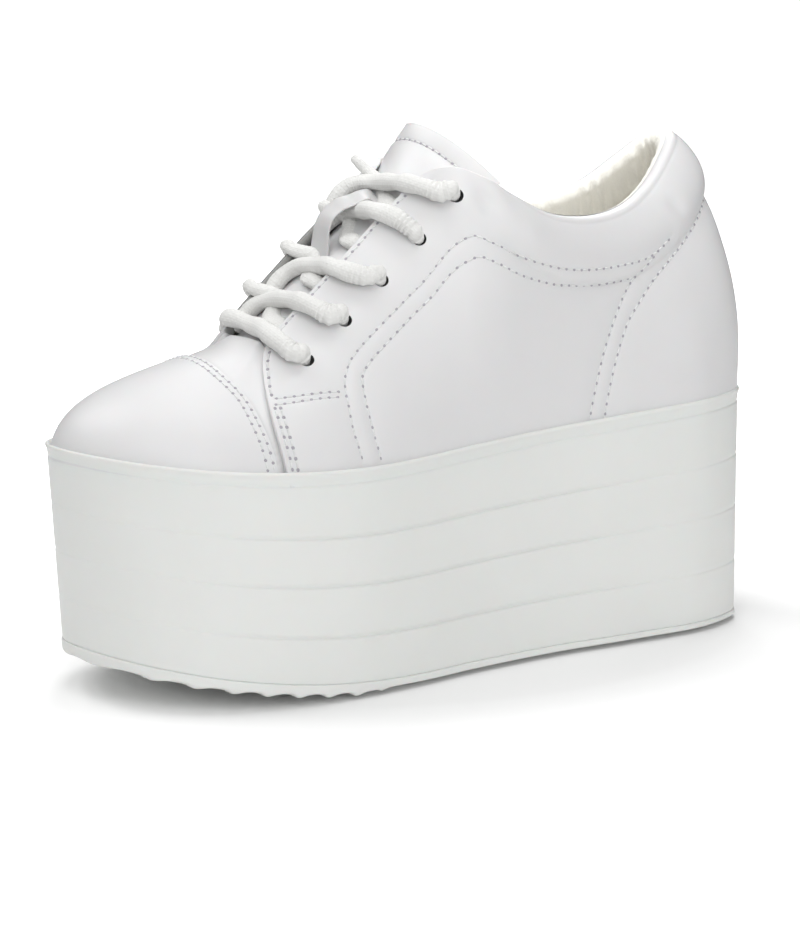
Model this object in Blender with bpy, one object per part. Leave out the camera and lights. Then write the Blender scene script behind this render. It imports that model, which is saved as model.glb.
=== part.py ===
"""White lace-up sneaker on a high block platform, left shoe, standing empty.

Frame: +X to the toe, +Y to the shoe's left (its outer side), +Z up, floor at z = 0.
Tables are in millimetres with x counted from the heel; build() turns them into metres
and centres the shoe's length on the origin.
"""
import math

import bmesh
import bpy
import numpy as np
from mathutils import Vector
from mathutils.bvhtree import BVHTree

MM = 0.001
LENGTH = 248.6               # heel to toe tip, along the sole
GAP = 0.35                   # clearance between pieces that meet

# ---- sole ---------------------------------------------------------------------------------
# Plan of the sole, clockwise from above: heel, outer side, toe, inner side.
SOLE_PLAN = [
    # x, y
    (0.0, 0.0), (2.5, 23.5), (23.0, 35.0), (55.0, 37.0), (88.0, 37.0), (120.0, 40.0),
    (148.0, 44.5), (172.0, 47.0), (197.0, 45.0), (220.0, 37.5), (238.0, 23.5), (247.0, 8.0),
    (248.5, -6.0), (242.5, -20.0), (231.0, -33.0), (213.0, -42.5), (188.0, -47.0),
    (162.0, -45.5), (135.0, -39.5), (108.0, -35.0), (80.0, -34.0), (52.0, -35.5),
    (25.0, -32.5), (5.5, -20.0)]
TOE_ROW = 12                 # the row of SOLE_PLAN that is the toe tip
PLAN_STEPS, PLAN_REACH = 1440, 4.0     # steps of the fine outline, half span of its tangents
HEEL_X, BALL_X, TOE_X = 10.0, 165.0, 250.0
SPRING_FROM, SPRING_RISE = 139.0, 13.0
TOE_RAKE_FROM, TOE_RAKE = 150.0, 5.0   # the wall leans back by this much at the tip's foot

# Heights of the sole's layers above its underside at heel, ball and toe.
FLOOR_LINE = (0.0, 0.0, 0.0)
OUTSOLE_LINE = (3.6, 4.3, 4.5)
GROOVE_LOW = (20.8, 18.8, 18.1)
GROOVE_MID = (39.6, 35.0, 33.2)
GROOVE_HIGH = (57.2, 50.4, 47.4)
LIP_LINE = (75.4, 67.3, 62.2)
LIP_TOP = (80.2, 71.7, 66.4)
GROOVE_DEPTH, GROOVE_HALF = 1.0, 0.9
LIP_OUT, LIP_WALL, CUP_DEPTH = 0.5, 1.6, 5.0
LIP_ROUND, LIP_START = 0.5, 1.8        # its edge's radius, and where it swells above its line
FOOT_CLEAR = 0.75            # between the lip and the upper standing inside it
BLOCK_CHAMFER = 0.8
SOLE_SIDES = 72
# Rings of the tread slab: the line each follows, how far outward of the plan, how far above.
OUTSOLE_RINGS = [
    (FLOOR_LINE, -1.6, 0.0), (FLOOR_LINE, -0.2, 1.0), (FLOOR_LINE, 0.3, 2.2),
    (OUTSOLE_LINE, 0.1, -0.6), (OUTSOLE_LINE, -0.6, -GAP)]
LUG_FIRST, LUG_COUNT, LUG_PITCH, LUG_DEPTH = 17.0, 21, 10.0, 1.2
LUG_RADIUS, LUG_SIDES, LUG_REACH = 2.4, 8, 60.0

# ---- upper --------------------------------------------------------------------------------
# One row for each rib of the last, heel to throat: how far along the half outline its foot
# stands, where it ends on the opening, how the wall leaves the sole and reaches that edge.
# along: share of the half outline; x, half, z: end on the opening (half = distance from the
# middle); out: outward lean at the foot, degrees; rise: slope at the edge, degrees;
# low, high: lengths of the straight starts, as shares of the rib's span; turn: how far the
# arrival swings towards the heel, degrees.
RIBS = [
    # along,  x,    half,  z,     out,  rise, low,  high, turn
    (0.000, 16.0,   0.0, 165.0,   6.0,  58.0, 0.43, 0.34,  0.0),
    (0.045, 19.0,   7.5, 163.0,   6.0,  58.0, 0.48, 0.34,  0.0),
    (0.095, 26.5,  13.0, 156.5,   6.0,  60.0, 0.50, 0.34,  0.0),
    (0.160, 39.0,  18.5, 147.0,   4.0,  66.0, 0.44, 0.33,  0.0),
    (0.230, 54.0,  23.5, 141.0,   1.0,  75.0, 0.35, 0.32,  0.0),
    (0.300, 72.0,  27.0, 139.6,   0.0,  78.0, 0.32, 0.32,  0.0),
    (0.360, 87.0,  28.3, 142.4,   0.0,  75.0, 0.31, 0.32,  0.0),
    (0.410, 100.0, 27.8, 149.0,   0.0,  70.0, 0.30, 0.32,  0.0),
    (0.450, 110.5, 25.5, 155.6,   0.0,  64.0, 0.30, 0.32,  0.0),
    (0.480, 118.5, 20.5, 159.2,   0.0,  58.0, 0.30, 0.32,  0.0),
    (0.505, 125.0, 15.0, 157.5,   0.0,  53.0, 0.30, 0.32,  0.0),
    (0.540, 136.0, 12.8, 148.2,   0.0,  50.0, 0.30, 0.32,  0.0),
    (0.600, 152.5, 12.8, 134.2,   0.0,  48.0, 0.30, 0.32,  0.0),
    (0.650, 166.0, 12.8, 122.4,   0.0,  45.0, 0.30, 0.32,  6.0),
    (0.695, 177.0, 12.8, 112.4,   0.0,  41.0, 0.30, 0.32, 16.0),
    (0.735, 181.5, 12.8, 107.0,   0.0,  38.0, 0.30, 0.34, 28.0),
    (0.810, 183.0,  8.6, 107.4,  -1.0,  30.0, 0.29, 0.38, 14.0),
    (0.900, 183.0,  4.3, 107.6,  -1.0,  22.0, 0.31, 0.42,  4.0),
    (1.000, 183.0,   0.0, 107.6,  -1.0, 19.0, 0.31, 0.44,  0.0)]
QUARTER_FRONT = 0.735        # 'along' of the rib that is the quarters' front edge
CAP_EDGE_X = 197.0           # the toe cap ends behind this cross line
CORNER_ALONG = 0.492         # 'along' of the eyestay's top corner
QUARTER_RIBS, TOE_RIBS = 23, 10
TOE_CROWD = 1.5              # above 1 crowds the toe's ribs towards the quarters
LOW_ROWS, HIGH_ROWS = 5, 6
CAP_ROWS, CAP_TRIALS = (0.05, 0.95), 201   # limits of the cap's share of a rib, steps in the search
QUARTER_ROW, QUARTER_EASE = 0.45, 0.12     # behind the cap that share grows by this, over this
ARRIVE_REACH, NORMAL_STEP = 20.0, 0.004
WALL, OVERLAY = 2.0, 0.8     # leather with its lining, and one more layer of leather
PAD_THICK, PAD_DEPTH, PAD_BULGE = 4.0, 20.0, 2.0
PAD_FADE, PAD_FULL, RIM_CROWN = (-0.02, 0.08), 2.2, 0.32
EYELETS, EYELET_HOLE, EYELET_SIDES, EYELET_PIN = 5, 4.6, 12, (-7.0, 5.0)
EYELET_FIRST, EYELET_LAST = (176.0, 103.6), (118.6, 150.8)   # x and height of the end holes

# ---- insole, tongue, laces ----------------------------------------------------------------
FOOTBED = [
    # x, thickness above the cup's floor
    (0.0, 24.0), (60.0, 22.0), (112.0, 13.0), (160.0, 5.0), (250.0, 4.0)]
INSOLE_RIBS, INSOLE_CLEAR, INSOLE_EDGE = 24, 1.2, 1.2
LINING_TOP, LINING_STEPS = 0.7, 60     # how far up the ribs the insole looks for the lining
# Cross sections of the tongue, from under the toe box up to its free end.
TONGUE = [
    # x, ridge height, half width, apex, thickness, sweep
    (200.0, 92.0, 17.0, 0.0, 2.5, 0.0),
    (190.0, 99.0, 18.0, 0.0, 4.0, 0.0),
    (178.0, 109.5, 19.0, 0.0, 4.5, 0.0),
    (164.0, 121.3, 20.0, 0.0, 4.5, 0.0),
    (150.0, 133.2, 20.5, -0.5, 4.5, 0.0),
    (137.0, 144.8, 21.0, -2.0, 5.0, 2.0),
    (127.0, 154.3, 20.4, -3.5, 5.0, 5.0),
    (119.0, 163.2, 20.4, -5.0, 5.0, 8.5),
    (112.5, 171.5, 21.0, -6.0, 4.0, 10.5)]
TONGUE_RADIUS, TONGUE_STEPS, TONGUE_CLEAR = 30.0, 10, 1.7
TONGUE_THIN = 0.8            # share of the thickness the rounding takes away at the edges
TONGUE_INWARD = (-0.62, 0.8, -0.8)     # heelwards, along the slope, down
LACE_RADIUS, LACE_STEPS, LACE_CLEAR = 2.3, 10, 0.95
# A bar's course from the middle towards its eyelet: y, and the share of its lift there.
LACE_COURSE = [(-8.8, 0.0), (-4.0, 0.6), (1.0, 1.0), (7.0, 0.9), (13.4, 0.7), (20.0, 0.3)]
UPPER_LIFT, LOWER_LIFT, START_BELOW, BAR_BEND = 3.8, 0.8, 3.0, 0.75
RAY_TOP, RAY_SIDE, RAY_BELOW, EDGE_REACH = 230.0, 60.0, 25.0, 3.0
FIRST_COURSE = [(1.0, 1.0), (7.5, 0.9), (14.2, 0.25), (20.0, 0.05)]
FIRST_LIFT, FIRST_BOW = 4.2, 3.4
LOOP_X, LOOP_Y, LOOP_RISE = (150.3, 130.6), -1.5, 11.0
LOOP_WIDTH, LOOP_THICK, LOOP_STEPS = 4.2, 1.2, 10


def spline(knots, rows, at, closed=False):
    """Cubic curve through the rows at uneven knots, with slopes taken from both neighbours."""
    knots, rows = np.asarray(knots, float), np.asarray(rows, float)
    if closed:
        span = knots[-1] - knots[0]
        knots = np.concatenate([[knots[-2] - span], knots, [knots[1] + span]])
        rows = np.vstack([rows[-2], rows, rows[1]])
    step = np.diff(knots)[:, None]
    rise = np.diff(rows, axis=0) / step
    inner = (rise[:-1] * step[1:] + rise[1:] * step[:-1]) / (step[:-1] + step[1:])
    slope = np.vstack([rise[:1], inner, rise[-1:]])
    i = np.clip(np.searchsorted(knots, at, side="right") - 1, 0, len(knots) - 2)
    h = step[i]
    u = (np.asarray(at, float) - knots[i])[:, None] / h
    return ((2 * u**3 - 3 * u**2 + 1) * rows[i] + (u**3 - 2 * u**2 + u) * h * slope[i]
            + (3 * u**2 - 2 * u**3) * rows[i + 1] + (u**3 - u**2) * h * slope[i + 1])


def fine_plan():
    """The closed sole outline in small steps, its length so far, and that length at the toe."""
    rows = np.array(SOLE_PLAN + SOLE_PLAN[:1])
    knots = np.concatenate([[0], np.cumsum(np.sqrt(np.linalg.norm(np.diff(rows, axis=0), axis=1)))])
    at = np.linspace(0, knots[-1], PLAN_STEPS + 1)
    fine = spline(knots, rows, at, closed=True)
    run = np.concatenate([[0], np.cumsum(np.linalg.norm(np.diff(fine, axis=0), axis=1))])
    return fine, run, np.interp(knots[TOE_ROW], at, run)


FINE, RUN, TOE_RUN = fine_plan()


def plan_at(along, side, outward=0.0):
    """Points of the sole's plan at shares of a half outline, moved outward along its normal."""
    along = np.asarray(along, float)
    run = along * TOE_RUN if side > 0 else RUN[-1] - along * (RUN[-1] - TOE_RUN)
    lap = RUN[-1]
    point = np.stack([np.interp(run % lap, RUN, FINE[:, k]) for k in (0, 1)], axis=-1)
    ahead, behind = (np.stack([np.interp((run + reach) % lap, RUN, FINE[:, k]) for k in (0, 1)],
                              axis=-1) for reach in (PLAN_REACH, -PLAN_REACH))
    tangent = ahead - behind
    normal = np.stack([-tangent[..., 1], tangent[..., 0]], axis=-1)
    normal /= np.linalg.norm(normal, axis=-1, keepdims=True)
    return point + normal * np.asarray(outward, float)[..., None]


def spring(x):
    """Rise of the whole sole towards the toe."""
    reach = np.clip((x - SPRING_FROM) / (LENGTH - SPRING_FROM), 0, None)
    return SPRING_RISE * reach**2


def level(line, x):
    """Height of one of the sole's lines at x: a parabola through its three heights, plus spring."""
    curve = np.polyfit((HEEL_X, BALL_X, TOE_X), line, 2)
    return np.polyval(curve, x) + spring(x)


def sole_ring(line, outward=0.0, above=0.0, count=SOLE_SIDES):
    """One ring of the sole: the plan at a line's height, raked back at the toe towards the floor."""
    half = count // 2
    along = np.arange(half + 1) / half
    outer = plan_at(along, 1, np.full(half + 1, outward))
    inner = plan_at(along[1:-1], -1, np.full(half - 1, outward))[::-1]
    plan = np.vstack([outer, inner])
    z = level(line, plan[:, 0]) + above
    full = level(LIP_TOP, plan[:, 0]) - level(FLOOR_LINE, plan[:, 0])
    drop = 1 - (z - level(FLOOR_LINE, plan[:, 0])) / full
    rake = TOE_RAKE * drop * np.clip((plan[:, 0] - TOE_RAKE_FROM) / (LENGTH - TOE_RAKE_FROM), 0, 1)**2
    return np.column_stack([plan[:, 0] - rake, plan[:, 1], z])


# ---- meshes -------------------------------------------------------------------------------
def to_frame(points):
    """Millimetres from the heel to metres from the middle of the shoe."""
    points = np.array(points, float)
    points[..., 0] -= LENGTH / 2
    return points * MM


def mesh_object(name, points, faces, material, collection, merge=1e-5):
    """A mesh object from points in millimetres, with coincident points merged."""
    mesh = bpy.data.meshes.new(name)
    mesh.from_pydata(to_frame(points).tolist(), [], faces)
    shape = bmesh.new()
    shape.from_mesh(mesh)
    bmesh.ops.remove_doubles(shape, verts=shape.verts, dist=merge)
    bmesh.ops.triangulate(shape, faces=shape.faces[:])
    bmesh.ops.recalc_face_normals(shape, faces=shape.faces[:])
    shape.to_mesh(mesh)
    shape.free()
    if material:
        mesh.materials.append(material)
    mesh.shade_smooth()
    mesh.set_sharp_from_angle(angle=math.radians(35))
    thing = bpy.data.objects.new(name, mesh)
    collection.objects.link(thing)
    return thing


def ring_faces(rings, count, start=0):
    """Quads between neighbouring rings of equal length."""
    faces = []
    for r in range(rings - 1):
        for i in range(count):
            j = (i + 1) % count
            low, high = start + r * count, start + (r + 1) * count
            faces.append((low + i, low + j, high + j, high + i))
    return faces


def ribbon_cap(start, count):
    """Cross strips that close a ring whose point i faces point count - i."""
    faces = []
    for i in range(count // 2):
        a, b = i, i + 1
        c, d = (count - b) % count, (count - a) % count
        ring = [start + k for k in (a, b, c, d)]
        faces.append(tuple(dict.fromkeys(ring)))
    return faces


def ring_solid(name, rings, material, collection):
    """A closed solid from a stack of rings, floor first, closed by cross strips."""
    count = len(rings[0])
    points = np.vstack(rings)
    faces = ring_faces(len(rings), count)
    faces += ribbon_cap(0, count)
    faces += ribbon_cap((len(rings) - 1) * count, count)
    return mesh_object(name, points, faces, material, collection)


def paint(name, colour, roughness):
    """A plain material of the given colour."""
    material = bpy.data.materials.new(name)
    material.use_nodes = True
    shader = material.node_tree.nodes["Principled BSDF"]
    shader.inputs["Base Color"].default_value = (*colour, 1)
    shader.inputs["Roughness"].default_value = roughness
    shader.inputs["Metallic"].default_value = 0.0
    material.diffuse_color = (*colour, 1)
    return material


def boolean(target, cutter, operation, cutters):
    """Add an exact boolean to the target and file the other shape with the cutters."""
    change = target.modifiers.new(cutter.name, "BOOLEAN")
    change.operation = operation
    change.solver = "EXACT"
    change.object = cutter
    cutter.hide_render = True
    cutter.display_type = "WIRE"
    if cutter.name not in cutters.objects:
        for home in list(cutter.users_collection):
            home.objects.unlink(cutter)
        cutters.objects.link(cutter)


def cross_bars(stations, radius, reach, sides):
    """Prisms across the shoe, one at each (x, z): the cutter for a row of tread grooves."""
    points, faces = [], []
    for x, z in stations:
        start = len(points)
        for y in (-reach, reach):
            for k in range(sides):
                angle = 2 * math.pi * (k + 0.5) / sides
                points.append((x + radius * math.cos(angle), y, z + radius * math.sin(angle)))
        faces += [tuple(start + k for k in range(sides)), tuple(start + sides + k for k in range(sides))]
        faces += [(start + k, start + (k + 1) % sides, start + sides + (k + 1) % sides,
                   start + sides + k) for k in range(sides)]
    return points, faces


# ---- sole pieces --------------------------------------------------------------------------
def build_outsole(material, parts, cutters):
    """The rubber tread: a thin slab with a rounded side and cross grooves underneath."""
    slab = ring_solid("outsole", [sole_ring(*row) for row in OUTSOLE_RINGS], material, parts)
    x = LUG_FIRST + LUG_PITCH * np.arange(LUG_COUNT)
    z = level(FLOOR_LINE, x) + LUG_DEPTH - LUG_RADIUS * math.cos(math.pi / LUG_SIDES)
    points, faces = cross_bars(zip(x, z), LUG_RADIUS, LUG_REACH, LUG_SIDES)
    tread = mesh_object("tread_grooves", points, faces, None, cutters)
    boolean(slab, tread, "DIFFERENCE", cutters)
    return slab


def groove(line):
    """Three rings that cut one V groove round the block."""
    return [sole_ring(line, 0.0, -GROOVE_HALF), sole_ring(line, -GROOVE_DEPTH),
            sole_ring(line, 0.0, GROOVE_HALF)]


def build_midsole(material, parts):
    """The platform block, ringed by four grooves, with a thin lip round the cup for the upper."""
    rings = [sole_ring(OUTSOLE_LINE, -BLOCK_CHAMFER), sole_ring(OUTSOLE_LINE, 0.0, BLOCK_CHAMFER)]
    for line in (GROOVE_LOW, GROOVE_MID, GROOVE_HIGH, LIP_LINE):
        rings += groove(line)
    inside = LIP_OUT - LIP_WALL
    rings += [sole_ring(LIP_LINE, LIP_OUT, LIP_START), sole_ring(LIP_TOP, LIP_OUT, -LIP_ROUND),
              sole_ring(LIP_TOP, LIP_OUT - LIP_ROUND), sole_ring(LIP_TOP, inside + LIP_ROUND),
              sole_ring(LIP_TOP, inside, -LIP_ROUND), sole_ring(LIP_TOP, inside, -CUP_DEPTH)]
    return ring_solid("midsole", rings, material, parts)


# ---- upper --------------------------------------------------------------------------------
def rib_table(along, side):
    """The four control points of the ribs at the given shares, foot first, on one side."""
    table = np.array(RIBS)
    data = spline(table[:, 0], table[:, 1:], along)
    x, half, z, out, rise, low, high, turn = data.T
    inset = LIP_OUT - LIP_WALL - FOOT_CLEAR - OVERLAY
    foot_plan = plan_at(along, side, np.full(len(along), inset))
    foot_z = level(LIP_TOP, foot_plan[:, 0]) - CUP_DEPTH + GAP
    foot = np.column_stack([foot_plan, foot_z])
    end = np.column_stack([x, side * np.clip(half, 0, None), z])
    outward = plan_at(along, side, np.full(len(along), inset + 1.0)) - foot_plan
    lean, climb = np.radians(out), np.radians(rise)
    span = np.linalg.norm(end - foot, axis=1)
    start = np.column_stack([outward * np.sin(lean)[:, None], np.cos(lean)])
    inward = -outward
    across = end[:, :2] - foot[:, :2]
    reach = np.linalg.norm(across, axis=1, keepdims=True)
    blend = np.clip(reach / ARRIVE_REACH, 0, 1)
    inward = inward * (1 - blend) + across / np.maximum(reach, 1e-6) * blend
    inward /= np.linalg.norm(inward, axis=1, keepdims=True)
    swing = np.radians(turn) * -side
    inward = np.column_stack([inward[:, 0] * np.cos(swing) - inward[:, 1] * np.sin(swing),
                              inward[:, 0] * np.sin(swing) + inward[:, 1] * np.cos(swing)])
    arrive = np.column_stack([inward * np.cos(climb)[:, None], np.sin(climb)])
    return foot, foot + start * (span * low)[:, None], end - arrive * (span * high)[:, None], end


def rib_points(ribs, share):
    """Points on cubic ribs: share is an array (ribs, rows) of curve parameters."""
    a, b, c, d = (p[:, None, :] for p in ribs)
    t = share[..., None]
    return (1 - t)**3 * a + 3 * (1 - t)**2 * t * b + 3 * (1 - t) * t**2 * c + t**3 * d


def smooth(value):
    """Smooth step from 0 to 1."""
    value = np.clip(value, 0, 1)
    return value * value * (3 - 2 * value)


def cap_share(along, ribs):
    """Where each rib crosses the toe cap's back edge; behind the cap the row eases up the quarter."""
    trial = np.linspace(0, 1, CAP_TRIALS)
    x = rib_points(ribs, np.tile(trial, (len(along), 1)))[..., 0]
    crossing = trial[np.argmax(x < CAP_EDGE_X, axis=1)]
    behind = CAP_ROWS[0] + QUARTER_ROW * smooth((QUARTER_FRONT - along) / QUARTER_EASE)
    return np.where(along >= QUARTER_FRONT, np.clip(crossing, *CAP_ROWS), behind)


def half_upper(side):
    """Outer skin of one side: base points, normals and the height of the overlay at each."""
    quarter = np.linspace(0, QUARTER_FRONT, QUARTER_RIBS)
    toe = QUARTER_FRONT + (1 - QUARTER_FRONT) * np.linspace(0, 1, TOE_RIBS + 1)**TOE_CROWD
    along = np.concatenate([quarter, toe])
    covered = np.concatenate([np.ones(QUARTER_RIBS, bool), np.zeros(TOE_RIBS + 1, bool)])
    ribs = rib_table(along, side)
    cap = cap_share(along, ribs)[:, None]
    low = np.linspace(0, 1, LOW_ROWS + 1)[None, :] * cap
    high = cap + np.linspace(0, 1, HIGH_ROWS + 1)[None, :] * (1 - cap)
    share = np.hstack([low, high])
    points = rib_points(ribs, share)
    raised = np.zeros(share.shape)
    raised[covered] = OVERLAY
    raised[~covered, :LOW_ROWS + 1] = OVERLAY
    return along, share, points, raised, ribs


def skin_normals(along, share, side):
    """Outward unit normals of the last at the grid's points, from small steps on the surface."""
    ahead = rib_points(rib_table(np.clip(along + NORMAL_STEP, 0, 1), side), share)
    behind = rib_points(rib_table(np.clip(along - NORMAL_STEP, 0, 1), side), share)
    here = rib_table(along, side)
    above = rib_points(here, np.clip(share + NORMAL_STEP, 0, 1))
    below = rib_points(here, np.clip(share - NORMAL_STEP, 0, 1))
    normal = np.cross(above - below, ahead - behind) * side
    return normal / np.maximum(np.linalg.norm(normal, axis=-1, keepdims=True), 1e-9)


def pad_profile(points, end, along):
    """How much of the collar's padding a point has: full near the edge, none on the eyestay."""
    below = np.linalg.norm(points - end[:, None, :], axis=-1)
    depth = np.clip(1 - below / PAD_DEPTH, 0, 1)
    around = smooth((CORNER_ALONG + PAD_FADE[0] - along) / PAD_FADE[1])[:, None]
    return depth, around


def upper_grids():
    """Outer and inner skins all the way round: outer side to the toe, then back on the inner."""
    outer, inner, rim = [], [], []
    for side in (1, -1):
        along, share, points, raised, ribs = half_upper(side)
        normal = skin_normals(along, share, side)
        middle = (along < 1e-9) | (along > 1 - 1e-9)
        normal[middle, :, 1] = 0
        normal /= np.linalg.norm(normal, axis=-1, keepdims=True)
        depth, around = pad_profile(points, ribs[3], along)
        bulge = PAD_BULGE * np.sin(np.pi * depth) * around
        pad = PAD_THICK * smooth(depth * PAD_FULL) * around
        skin = points + normal * (raised + bulge)[..., None]
        lining = points - normal * (WALL + pad)[..., None]
        edge = (points + normal * bulge[..., None])[:, -1]
        top = 0.5 * (edge + lining[:, -1])
        width = np.linalg.norm(edge - lining[:, -1], axis=1)
        climb = ribs[3] - ribs[2]
        climb /= np.linalg.norm(climb, axis=1, keepdims=True)
        top += climb * (RIM_CROWN * width)[:, None]
        keep = [k for k in range(share.shape[1]) if k != LOW_ROWS + 1]
        lining = lining[:, keep]
        if side < 0:
            skin, lining, top = (grid[-2:0:-1] for grid in (skin, lining, top))
        outer.append(skin)
        inner.append(lining)
        rim.append(top)
    return np.concatenate(outer), np.concatenate(inner), np.concatenate(rim)


def build_upper(material, parts):
    """The hollow upper: outer skin, rounded edge, lining and a flat foot, joined into one wall."""
    outer, inner, rim = upper_grids()
    columns = np.concatenate([outer, rim[:, None], inner[:, ::-1]], axis=1)
    count, rows = columns.shape[:2]
    points = columns.reshape(-1, 3)
    faces = []
    for i in range(count):
        j = (i + 1) % count
        for r in range(rows):
            s = (r + 1) % rows
            faces.append((i * rows + r, j * rows + r, j * rows + s, i * rows + s))
    return mesh_object("upper", points, faces, material, parts)


# ---- insole -------------------------------------------------------------------------------
def lining_rings(heights, clear):
    """Rings on the lining's inside: heights holds, for each ring, millimetres above the foot."""
    rings = [[] for _ in heights]
    for side in (1, -1):
        along = np.linspace(0, 1, INSOLE_RIBS + 1)
        if side < 0:
            along = along[1:-1]
        share = np.tile(np.linspace(0, LINING_TOP, LINING_STEPS), (len(along), 1))
        points = rib_points(rib_table(along, side), share)
        normal = skin_normals(along, share, side)
        normal[..., 2] = 0
        normal /= np.linalg.norm(normal, axis=-1, keepdims=True)
        middle = (along < 1e-9) | (along > 1 - 1e-9)
        normal[middle, :, 1] = 0
        lining = points - normal * (WALL + clear)
        for ring, height in zip(rings, heights):
            want = lining[:, 0, 2] + height(lining[:, 0, 0])
            row = np.array([[np.interp(z, rib[:, 2], rib[:, k]) for k in range(3)]
                            for z, rib in zip(want, lining)])
            ring.append(row if side > 0 else row[::-1])
    return [np.vstack(ring) for ring in rings]


def footbed(x):
    """Thickness of the wedge insole at x."""
    table = np.array(FOOTBED)
    return spline(table[:, 0], table[:, 1:], np.clip(x, 0, LENGTH))[:, 0]


def build_insole(material, parts):
    """The footbed: a wedge that fills the shoe from the cup's floor to the sole of the foot."""
    rings = lining_rings([lambda x: 0 * x + GAP, lambda x: 0.5 * footbed(x),
                          lambda x: footbed(x) - INSOLE_EDGE], INSOLE_CLEAR)
    rings += lining_rings([footbed], INSOLE_CLEAR + INSOLE_EDGE)
    return ring_solid("insole", rings, material, parts)


# ---- tongue -------------------------------------------------------------------------------
def tree_of(thing):
    """A search tree of a finished object's faces, in metres."""
    return BVHTree.FromObject(thing, bpy.context.evaluated_depsgraph_get())


def under_upper(x, y, z, tree):
    """A height kept clear under whatever of the upper covers the place."""
    below = Vector(to_frame([x, y, z - RAY_BELOW]))
    hit = tree.ray_cast(below, Vector((0, 0, 1)))[0]
    return z if hit is None else min(z, hit.z / MM - TONGUE_CLEAR)


def build_tongue(material, parts, tree):
    """The padded tongue, laid on the lining from the toe box to its free arched end."""
    sections = []
    for x, ridge, half, apex, thick, sweep in TONGUE:
        across = np.linspace(-1, 1, TONGUE_STEPS + 1)
        y = half * across
        back_off = sweep * ((y - apex) / TONGUE_RADIUS)**2
        arch = ridge - TONGUE_RADIUS + np.sqrt(TONGUE_RADIUS**2 - (y - apex)**2)
        top = np.array([under_upper(x - b, v, z, tree) for b, v, z in zip(back_off, y, arch)])
        depth = thick * np.sqrt(1 - TONGUE_THIN * across**4)
        slope = np.column_stack([np.ones_like(y), np.gradient(top, y), np.ones_like(y)])
        down = slope * TONGUE_INWARD
        down /= np.linalg.norm(down, axis=1, keepdims=True)
        face = np.column_stack([x - back_off, y, top])
        back = face + down * depth[:, None]
        sections.append(np.vstack([face, back[::-1]]))
    count = len(sections[0])
    faces = ring_faces(len(sections), count)
    faces += ribbon_cap_pairs(0, count) + ribbon_cap_pairs((len(sections) - 1) * count, count)
    return mesh_object("tongue", np.vstack(sections), faces, material, parts)


def ribbon_cap_pairs(start, count):
    """Quads that close a ring made of a face row and the same row run back."""
    half = count // 2
    return [(start + i, start + i + 1, start + count - 2 - i, start + count - 1 - i)
            for i in range(half - 1)]


# ---- laces --------------------------------------------------------------------------------
def eyelet(number, side, tree):
    """Where an eyelet's axis meets the skin, and the skin's normal there, in millimetres."""
    share = (number - 1) / (EYELETS - 1)
    x = EYELET_FIRST[0] + (EYELET_LAST[0] - EYELET_FIRST[0]) * share
    z = EYELET_FIRST[1] + (EYELET_LAST[1] - EYELET_FIRST[1]) * share
    start = Vector(to_frame([x, side * RAY_SIDE, z]))
    hit, normal = tree.ray_cast(start, Vector((0, -side, 0)))[:2]
    return np.array([x, hit.y / MM, z]), np.array(normal)


def tube_mesh(name, path, radius, material, collection):
    """A tube along a path: a curve with round filled ends, made a mesh."""
    route = bpy.data.curves.new(name, "CURVE")
    route.dimensions = "3D"
    route.bevel_depth = radius * MM
    route.bevel_resolution = 2
    route.use_fill_caps = True
    line = route.splines.new("POLY")
    line.points.add(len(path) - 1)
    for point, place in zip(line.points, to_frame(path)):
        point.co = (*place, 1)
    guide = bpy.data.objects.new(name + "_route", route)
    collection.objects.link(guide)
    graph = bpy.context.evaluated_depsgraph_get()
    mesh = bpy.data.meshes.new_from_object(guide.evaluated_get(graph))
    bpy.data.objects.remove(guide, do_unlink=True)
    shape = bmesh.new()
    shape.from_mesh(mesh)
    bmesh.ops.remove_doubles(shape, verts=shape.verts, dist=1e-6)
    bmesh.ops.recalc_face_normals(shape, faces=shape.faces[:])
    shape.to_mesh(mesh)
    shape.free()
    mesh.materials.clear()
    mesh.materials.append(material)
    mesh.shade_smooth()
    thing = bpy.data.objects.new(name, mesh)
    collection.objects.link(thing)
    return thing


def highest(x, y, trees):
    """The first leather met from straight above a place: where, and which way it faces."""
    start = Vector(to_frame([x, y, RAY_TOP]))
    hits = [tree.ray_cast(start, Vector((0, 0, -1)))[:2] for tree in trees]
    place, normal = max((hit for hit in hits if hit[0]), key=lambda hit: hit[0].z)
    return place.z / MM, np.array(normal)


def over_skin(x, y, lift, tongue, upper):
    """A point lifted squarely off eyestay or tongue, clear of the edge just outside it."""
    spots = [highest(x, place, (tongue, upper)) for place in (y, y + math.copysign(EDGE_REACH, y))]
    top, normal = max(spots, key=lambda spot: spot[0])
    return np.array([x, y, top]) + normal * lift


def lace_path(start_x, end, course, lift, side, tongue, upper):
    """A bar's route: from the throat over the eyestay's edge and down to its eyelet."""
    place, normal = end
    rows = []
    for y, rise in course:
        part = (y - course[0][0]) / (abs(place[1]) - course[0][0])
        x = place[0] + (start_x - place[0]) * (1 - part)**BAR_BEND
        rows.append(over_skin(x, side * y, LACE_RADIUS + LACE_CLEAR + rise * lift, tongue, upper))
    rows.append(place + normal * (LACE_RADIUS + LACE_CLEAR))
    rows = np.array(rows)
    run = np.concatenate([[0], np.cumsum(np.linalg.norm(np.diff(rows, axis=0), axis=1))])
    return spline(run, rows, np.linspace(0, run[-1], LACE_STEPS + 1))


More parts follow.
